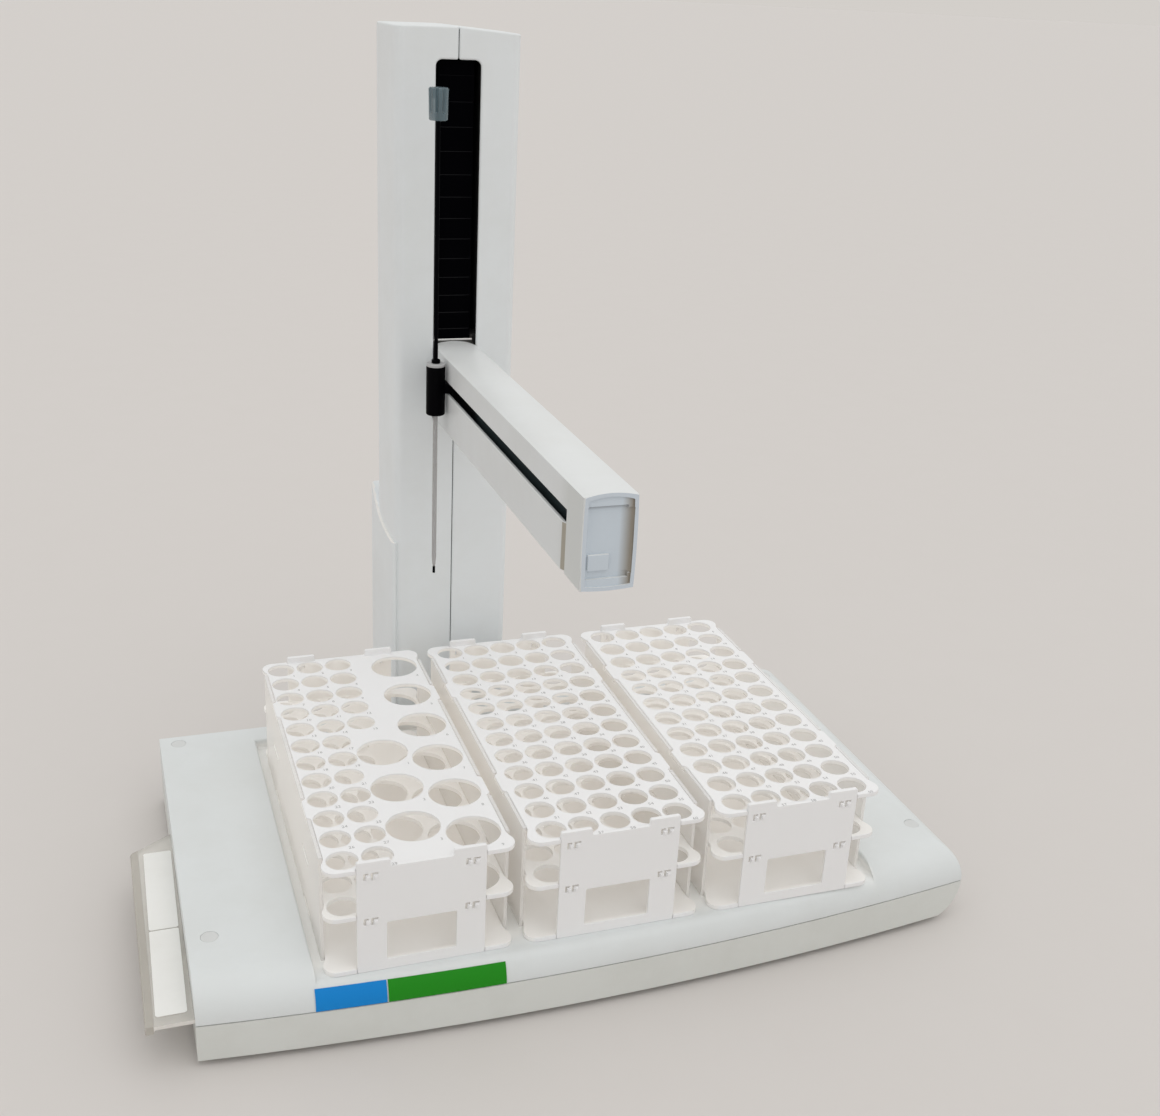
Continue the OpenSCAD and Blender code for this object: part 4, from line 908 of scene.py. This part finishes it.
# Painted light: faces that look up, such as the dish's lower wall, take the paler arm colour; the rim's sides
# and back, off the cap's face, take it too.
repainted(end_cap, arm_plastic,
          lambda face: face.normal.z > 0.5 or (face.material_index == 0 and face.normal.y > -0.5))


# Drive along the arm: a ground rod, a flat motor, two pulleys and a belt inside the arm.
# A dark glossy band stands behind the groove and hides them; its grey-green tone is a painted reflection over
# black, and its rear end is painted plain black, without it.
band_gloss = moulded("arm_band_plastic", (0.026, 0.036, 0.039), (0.045, 0.060, 0.064), 0.12, 300.0,
                     0.00002, 0.8)
painted_dark_end = 0.050, 0.062
# The band's rear end is painted plain black, with no painted reflection.
tinted(band_gloss, (0.003, 0.003, 0.0035), y_in=painted_dark_end)
dress(ground_steel, "y_rail")
dress(motor_paint, "y_motor")
dress(turned_alloy, "y_drive_pulley", "y_idler_pulley")
dress(belt_rubber, "y_belt")
dress(band_gloss, "arm_slot_band")


# Probe carriage and holder: the black block inside the arm, its neck through the groove,
# and the turned holder on the neck. Machined black acetal with a grey washer and a collar on top.
holder_low, holder_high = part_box("probe_holder")
washer_low, washer_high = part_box("holder_washer")
collar_low, collar_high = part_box("holder_collar")
rod_low, rod_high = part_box("probe_rod")
probe_x, probe_y = (holder_low.x + holder_high.x) / 2, (holder_low.y + holder_high.y) / 2
holder_r, washer_r, collar_r = (holder_high.x - holder_low.x) / 2, 0.0058, 0.00275
rod_r = (rod_high.x - rod_low.x) / 2 - 0.0006
bore = rod_r + 0.0001


def ring_piece(name, profile, material, body, node, slot):
    """A turned piece on the probe's axis that stands for one CAD node."""
    fitted(name, turned(profile, (probe_x, probe_y, 0), sides=48), material, body, slot, node)


washer_grey = moulded("washer_grey", (0.46, 0.465, 0.47), (0.36, 0.36, 0.36), 0.4)
dress(black_plastic, "y_carriage")
ring_piece("holder_body", sleeve(
    bore, holder_r, holder_low.z, holder_high.z, (0.0003, 0.0011, 0.0005, 0.0003)),
    black_plastic, "probe_carriage", "probe_holder", "black_plastic")
ring_piece("washer_ring", sleeve(bore, washer_r, washer_low.z, washer_high.z, (0, 0.0003, 0.0006, 0.0003)),
           washer_grey, "probe_carriage", "holder_washer", "carriage_grey")
ring_piece("collar_ring", sleeve(bore, collar_r, collar_low.z, collar_high.z, (0, 0.0002, 0.0006, 0.0002)),
           black_plastic, "probe_carriage", "holder_collar", "black_plastic")


# Probe: a black coated support rod with a clear sample tube below it, a dark tip and a ribbed cap.
# The rod slides in the holder and has a thin lip over the tube's end; the cap is pressed on its top end.
tube_low, tube_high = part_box("probe_tube")
tip_low, tip_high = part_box("probe_tip")
knob_low, knob_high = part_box("probe_cap")
tube_r, tip_r = (tube_high.x - tube_low.x) / 2, (tip_high.x - tip_low.x) / 2
rod_foot, rod_lip, tip_top = tube_high.z + 0.0001, tube_r - 0.0001, tip_low.z + 0.0047
tube_bead, tube_neck, mouth_r, point_r = tip_top + 0.0018, tip_top + 0.0070, 0.6 * tip_r, 0.8 * tip_r
rod_coat = moulded("rod_coat", (0.0014, 0.0015, 0.0023), (0.003, 0.003, 0.003), 0.4, 1400.0, 0.00002,
                   specular=0.015)
ring_piece("rod_bar", [
    (0, rod_foot, 0), (rod_lip, rod_foot, 0), (rod_r, rod_foot, 0), (rod_r, rod_high.z, 0.0004),
    (0, rod_high.z, 0)], rod_coat, "probe", "probe_rod", "black_plastic")
ring_piece("tube_bar", [
    (0, tip_top, 0), (mouth_r, tip_top, 0), (tip_r, tube_bead, 0.0004), (tube_r, tube_neck, 0.002),
    (tube_r, tube_high.z, 0.0002), (0, tube_high.z, 0)],
    see_through("tube_plastic", (0.42, 0.41, 0.41), 0.62, 0.22), "probe", "probe_tube", "clear_tube")
ring_piece("tip_bar", sleeve(0, point_r, tip_low.z, tip_top, (0, 0.0001, 0.0001, 0)), black_plastic,
           "probe", "probe_tip", "black_plastic")

rib_count, rib_sides, rib_deep = 8, 160, 0.0013
knob_foot_r, knob_head_r, knob_h = 0.0056, 0.0060, knob_high.z - knob_low.z
# Height, draw of the radius and depth of the ribs at each level.
levels = [(0.0, -0.0005, 0.0), (0.0005, 0.0, 0.0), (0.22 * knob_h, 0.0, 0.0), (0.25 * knob_h, 0.0, 0.7),
          (0.28 * knob_h, 0.0, 1.0), (0.5 * knob_h, 0.0, 1.0), (0.75 * knob_h, 0.0, 1.0),
          (knob_h - 0.0006, 0.0, 1.0), (knob_h, -0.0006, 0.9), (knob_h, -0.0016, 0.3),
          (knob_h - 0.0004, -0.0020, 0.0), (knob_h - 0.006, -0.0022, 0.0)]
rings = []
for height, draw, rib in levels:
    base = knob_foot_r + (knob_head_r - knob_foot_r) * height / knob_h + draw
    radii = [(a, base - rib_deep * rib * (0.5 - 0.5 * math.cos(rib_count * a)) ** 3)
             for a in spread(0, 2 * math.pi, rib_sides)[:-1]]
    rings.append([(probe_x + r * math.cos(a), probe_y + r * math.sin(a), knob_low.z + height)
                  for a, r in radii])
cap_smoke = see_through("cap_smoke", (0.125, 0.185, 0.215), 0.70, 0.16, 0.3, 0.7)
fitted("knob_ribbed", skinned(rings), cap_smoke, "probe", "probe_cap", "probe_cap")


# Racks: three flat-pack tube racks, each with three shelves, two end plates and two long sides.
# Cut from white sheet and snapped together: the shelves' tabs pass through slots in the sides,
# and small hooks on the end plates hold the shelves.
rack_w, rack_l, sheet_t, side_t = 0.104, 0.248, 0.0026, 0.002
shelf_corner, end_half, side_half = 0.007, 0.035, 0.108
tab_y, tab_half, tab_curve, step_end = 0.059, 0.011, 0.003, 0.1165
fit, lap_in, sheet_edge = 0.0003, 0.0007, 0.0003
pitch_x, pitch_y, tube_hole, bottle_hole = 0.0187, 0.0205, 0.0085, 0.015
ear_w, ear_edge, plate_corner = 0.018, 0.001, 0.0008
window_half, window_low, window_high = 0.019, 0.0065, 0.030
hook_x, hook_drops, hook_t, hook_edge, hook_out = 0.0275, (0.005, 0.0045), 0.001, 0.0002, 0.0003
digit_size, ink_t, ink_lift = 0.0033, 0.00003, 0.00004
right_share, right_room, front_share, front_room = 0.78, 0.0004, 0.98, 0.0018
tube_shift, near_bottle, far_bottle, bottle_sides = 0.003, 0.0024, 0.0328, 56
middle_shelf = 0.0364
shelf_tops = [bay_z + sheet_t, bay_z + middle_shelf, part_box("rack_middle_top")[1].z]
rack_top, ear_top = shelf_tops[2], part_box("rack_middle_ends")[1].z


def rack_sheet(name, alpha=1.0):
    """White sheet: cool white outside; inside the rack a warmer colour and a painted glow, dimmer towards the
    front, stand in for light let through the sheet.
    """
    material, tree = new_finish(name)
    grain = grained(tree, 900.0)
    outer = marked(tree, (0.885, 0.885, 0.895), (0.845, 0.84, 0.835), 0.3)["Colour"]
    inner = marked(tree, (0.89, 0.882, 0.868), (0.85, 0.835, 0.81), 0.5)["Colour"]
    core, skin = rack_l / 2 - 0.0012, rack_l / 2 - 0.0003
    inside = zoned(tree, outer, inner, y_in=(-skin, -core), y_out=(core, skin),
                   z_out=(rack_top - 0.0012, rack_top - 0.0003))
    along = put(tree, "SeparateXYZ", {0: put(tree, "TexCoord").outputs["Object"]}).outputs["Y"]
    dim_y, lit_y, dim_share = -0.115, -0.03, 0.36
    glow = times(tree, inside["Mask"], ramp(tree, along, dim_y, lit_y, dim_share))
    # Painted light: the sheet glows inside the rack though it is no lamp.
    painted_glow = mixed(tree, glow, (0, 0, 0, 1), (0.084, 0.075, 0.065, 1))
    shader = tree.nodes["Principled BSDF"].inputs
    tree.links.new(painted_glow, shader["Emission Color"])
    shader["Emission Strength"].default_value = 1.0
    wire(tree, inside["Colour"], uneven(tree, grain["Mottle"], 0.42, 0.55),
         grain["Height"], 0.5, 0.00003, alpha=alpha)
    return material


rack_white = rack_sheet("rack_white")
rack_clear = rack_sheet("rack_clear", 0.62)
number_ink = moulded("number_ink", (0.42, 0.42, 0.42), (0.55, 0.54, 0.53), 0.6)


def s_curve(y0, x0, y1, x1, steps=6):
    """Soft S from one edge line to another."""
    return [(x0 + (x1 - x0) * (0.5 - 0.5 * math.cos(math.pi * k / steps)), y0 + (y1 - y0) * k / steps)
            for k in range(steps + 1)]


def shelf_outline():
    """Shelf edge: wide rounded corners, S-curved steps to the recess, and two tabs on each side."""
    full, recess, end = rack_w / 2, rack_w / 2 - side_t - fit, rack_l / 2
    turn = rounded([(end_half, -end, 0), (full, -end, shelf_corner), (full, 0, 0)])[1:-1]
    corner = [tuple(p) for p in turn]
    edge = corner + s_curve(-step_end, full, -side_half - fit, recess)
    for middle in (-tab_y, tab_y):
        edge += s_curve(middle - tab_half, recess, middle - tab_half + tab_curve, full)
        edge += s_curve(middle + tab_half - tab_curve, full, middle + tab_half, recess)
    edge += s_curve(side_half + fit, recess, step_end, full) + [(x, -y) for x, y in reversed(corner)]
    notch, lap = end_half + fit, end - sheet_t + lap_in
    right = [(notch, -lap), (notch, -end)] + edge + [(notch, end), (notch, lap)]
    return right + [(-x, y) for x, y in reversed(right)]


def end_outlines():
    """End plate with an ear at each upper corner, and its window."""
    ear_in = end_half - ear_w
    half = [(end_half, bay_z, plate_corner), (end_half, ear_top, ear_edge), (ear_in, ear_top, ear_edge),
            (ear_in, rack_top, ear_edge)]
    window = [(x, bay_z + z, plate_corner) for x, z in (
        (-window_half, window_low), (window_half, window_low), (window_half, window_high),
        (-window_half, window_high))]
    return [rounded(half + [(-x, z, r) for x, z, r in reversed(half)], 3), rounded(window, 3)]


def hooks(rows):
    """Outlines about the four snap marks of an end plate, from corners in millimetres."""
    spots = [(x, shelf_tops[2 - k] - drop) for x in (-hook_x, hook_x) for k, drop in enumerate(hook_drops)]
    return [[(x + 0.001 * a, z + 0.001 * b) for a, b in row] for x, z in spots for row in rows]


hook_slits = hooks([[(-3.9, -2.0), (-2.7, -2.0), (-2.7, 0.8), (-1.3, 0.8), (-1.3, 2.0), (-3.9, 2.0)],
                    [(0.1, -2.3), (1.3, -2.3), (1.3, 0.9), (3.9, 0.9), (3.9, 2.1), (0.1, 2.1)]])
hook_heads = hooks([[(-2.2, -1.9), (-0.5, -1.9), (-0.5, 0.3), (-2.2, 0.3)],
                    [(1.8, -1.5), (3.5, -1.5), (3.5, 0.4), (1.8, 0.4)]])


def side_outlines():
    """Long side with open notches for the bottom and top shelves' tabs, and slots for the middle one's."""
    reach, tall = tab_half + fit, sheet_t + fit
    foot, head, slots = [(-side_half, bay_z)], [(side_half, rack_top)], []
    for middle in (-tab_y, tab_y):
        near, far = middle - reach, middle + reach
        foot += [(near, bay_z), (near, bay_z + tall), (far, bay_z + tall), (far, bay_z)]
        head += [(-near, rack_top), (-near, rack_top - tall), (-far, rack_top - tall), (-far, rack_top)]
        low, high = shelf_tops[1] - tall, shelf_tops[1] + fit
        slots.append([(near, low), (far, low), (far, high), (near, high)])
    return [foot + [(side_half, bay_z)] + head + [(-side_half, rack_top)]] + slots


def plate(outlines, thickness, place, edge):
    """A flat plate from closed outlines, holes included, with every edge softened."""
    sheet = bpy.data.curves.new("sheet", "CURVE")
    sheet.dimensions, sheet.fill_mode = "2D", "BOTH"
    sheet.extrude, sheet.bevel_depth, sheet.offset = thickness / 2 - edge, edge, -edge
    sheet.bevel_resolution = 1
    for outline in outlines:
        loop = sheet.splines.new("POLY")
        loop.points.add(len(outline) - 1)
        for point, (x, y) in zip(loop.points, outline):
            point.co = (x, y, 0, 1)
        loop.use_cyclic_u = True
    work = bmesh.new()
    work.from_mesh(baked(sheet))
    bmesh.ops.transform(work, matrix=place, verts=work.verts)
    return to_mesh(work)


def at(x, y, z):
    """Place of a plate's middle or of a number."""
    return Matrix.Translation((x, y, z))


def printed_numbers(spots, radius, height):
    """Small printed hole numbers at the front right of each hole."""
    meshes = []
    for count, (x, y) in enumerate(spots):
        digits = bpy.data.curves.new("digits", "FONT")
        digits.body = str(1 + count)
        digits.size, digits.extrude, digits.resolution_u = digit_size, ink_t, 2
        digits.align_x, digits.align_y = "CENTER", "CENTER"
        right, front = right_share * (radius + right_room), front_share * (radius + front_room)
        meshes.append(baked(digits))
        meshes[-1].transform(at(x + right, y - front, height))
    return meshes


facing_y = Matrix(((1, 0, 0, 0), (0, 0, -1, 0), (0, 1, 0, 0), (0, 0, 0, 1)))
facing_x = Matrix(((0, 0, 1, 0), (1, 0, 0, 0), (0, 1, 0, 0), (0, 0, 0, 1)))
hole_x = [(column - 2) * pitch_x for column in range(5)]
hole_y = [(5.5 - row) * pitch_y for row in range(12)]
tube_spots = [(x, y) for y in hole_y for x in hole_x]
mixed_spots = [(hole_x[c] - tube_shift, hole_y[r]) for r in range(12) for c in range(3) if c < 2 or r < 5]
bottle_spots = [(near_bottle, (-0.4 - 2 * i) * pitch_y) for i in range(3)]
bottle_spots += [(far_bottle, (4.95 - 2 * i) * pitch_y) for i in range(6)]

for hand, tubes, bottles in (("left", mixed_spots, bottle_spots), ("middle", tube_spots, []),
                             ("right", tube_spots, [])):
    body = "rack_" + hand
    low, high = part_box(body + "_top")
    middle = (low.x + high.x) / 2
    holes = [circle(x, y, tube_hole) for x, y in tubes]
    holes += [circle(x, y, bottle_hole, bottle_sides) for x, y in bottles]
    bottom, shelf, top = (plate([shelf_outline()] + cuts, sheet_t, at(middle, 0, z - sheet_t / 2), sheet_edge)
                          for z, cuts in zip(shelf_tops, ([], holes, holes)))
    ends, sides = [], []
    for end in (-1, 1):
        end_y, head_y = end * (rack_l / 2 - sheet_t / 2), end * (rack_l / 2 + hook_out)
        side_x = middle + end * (rack_w / 2 - side_t / 2)
        ends.append(plate(end_outlines() + hook_slits, sheet_t, at(middle, end_y, 0) @ facing_y, sheet_edge))
        ends.append(plate(hook_heads, hook_t, at(middle, head_y, 0) @ facing_y, hook_edge))
        sides.append(plate(side_outlines(), side_t, at(side_x, 0, 0) @ facing_x, sheet_edge))
    for kind, mesh, sheet in (("top", top, rack_white), ("shelves", gathered(shelf, bottom), rack_white),
                              ("ends", gathered(*ends), rack_white), ("sides", gathered(*sides), rack_clear)):
        node = body + "_" + kind
        fitted(node + "_sheet", mesh, sheet, body, "rack_white", node, angle=30.0)
    numbers = gathered(*printed_numbers(tubes, tube_hole, rack_top + ink_lift),
                       *printed_numbers(bottles, bottle_hole, rack_top + ink_lift))
    numbers.transform(at(middle, 0, 0))
    fitted(body + "_numbers", numbers, number_ink, body, "panel_grey")


# Studio: a wide pale warm-grey floor, an even sky that is brighter overhead, and one soft lamp.
# The camera stands where the photograph was taken, front left and above.
reach = 150.0
floor_mesh = bpy.data.meshes.new("floor")
floor_mesh.from_pydata([(-reach, -reach, 0), (reach, -reach, 0), (reach, reach, 0), (-reach, reach, 0)], [],
                       [(0, 1, 2, 3)])
floor_paint = moulded("floor_paint", (0.662, 0.632, 0.612), (0.645, 0.612, 0.59), 0.85, 300.0, 0.00002, 0.2)
finished("floor", floor_mesh, floor_paint)

scene = bpy.context.scene
scene.world = bpy.data.worlds.new("soft_sky")
scene.world.use_nodes = True
sky = scene.world.node_tree
height = put(sky, "SeparateXYZ", {0: put(sky, "TexCoord").outputs["Generated"]}).outputs["Z"]
shades = put(sky, "ValToRGB", {"Fac": height})
horizon, overhead = shades.color_ramp.elements
horizon.position, horizon.color = 0.05, (0.651, 0.623, 0.591, 1)
overhead.color = (0.93, 0.925, 0.91, 1)
shades.color_ramp.elements.new(0.12).color = (0.72, 0.715, 0.70, 1)
sky.links.new(shades.outputs["Color"], sky.nodes["Background"].inputs["Color"])

lamp = bpy.data.lights.new("overhead", "SUN")
lamp.energy, lamp.angle, lamp.color = 0.4, math.radians(70), (1.0, 0.99, 0.97)
lamp_object = bpy.data.objects.new("overhead", lamp)
lamp_object.rotation_euler = (math.radians(20), math.radians(10), 0)
bpy.context.collection.objects.link(lamp_object)

camera = bpy.data.cameras.new("camera")
camera.sensor_fit, camera.sensor_width, camera.lens = "HORIZONTAL", 36.0, 43.545
camera.clip_start, camera.clip_end = 0.02, 400.0
camera_place = -0.255604, -0.731219, 0.531279
camera_right = Vector((0.944286, -0.325560, 0.048321))
camera_down = Vector((-0.079774, -0.368836, -0.926065))
camera_ahead = Vector((0.319313, 0.870615, -0.374258))
stand = bpy.data.objects.new("camera", camera)
turn = Matrix((camera_right, -camera_down, -camera_ahead)).transposed().to_4x4()
stand.matrix_world = Matrix.Translation(camera_place) @ turn
bpy.context.collection.objects.link(stand)
scene.camera = stand
scene.view_settings.view_transform = "Standard"
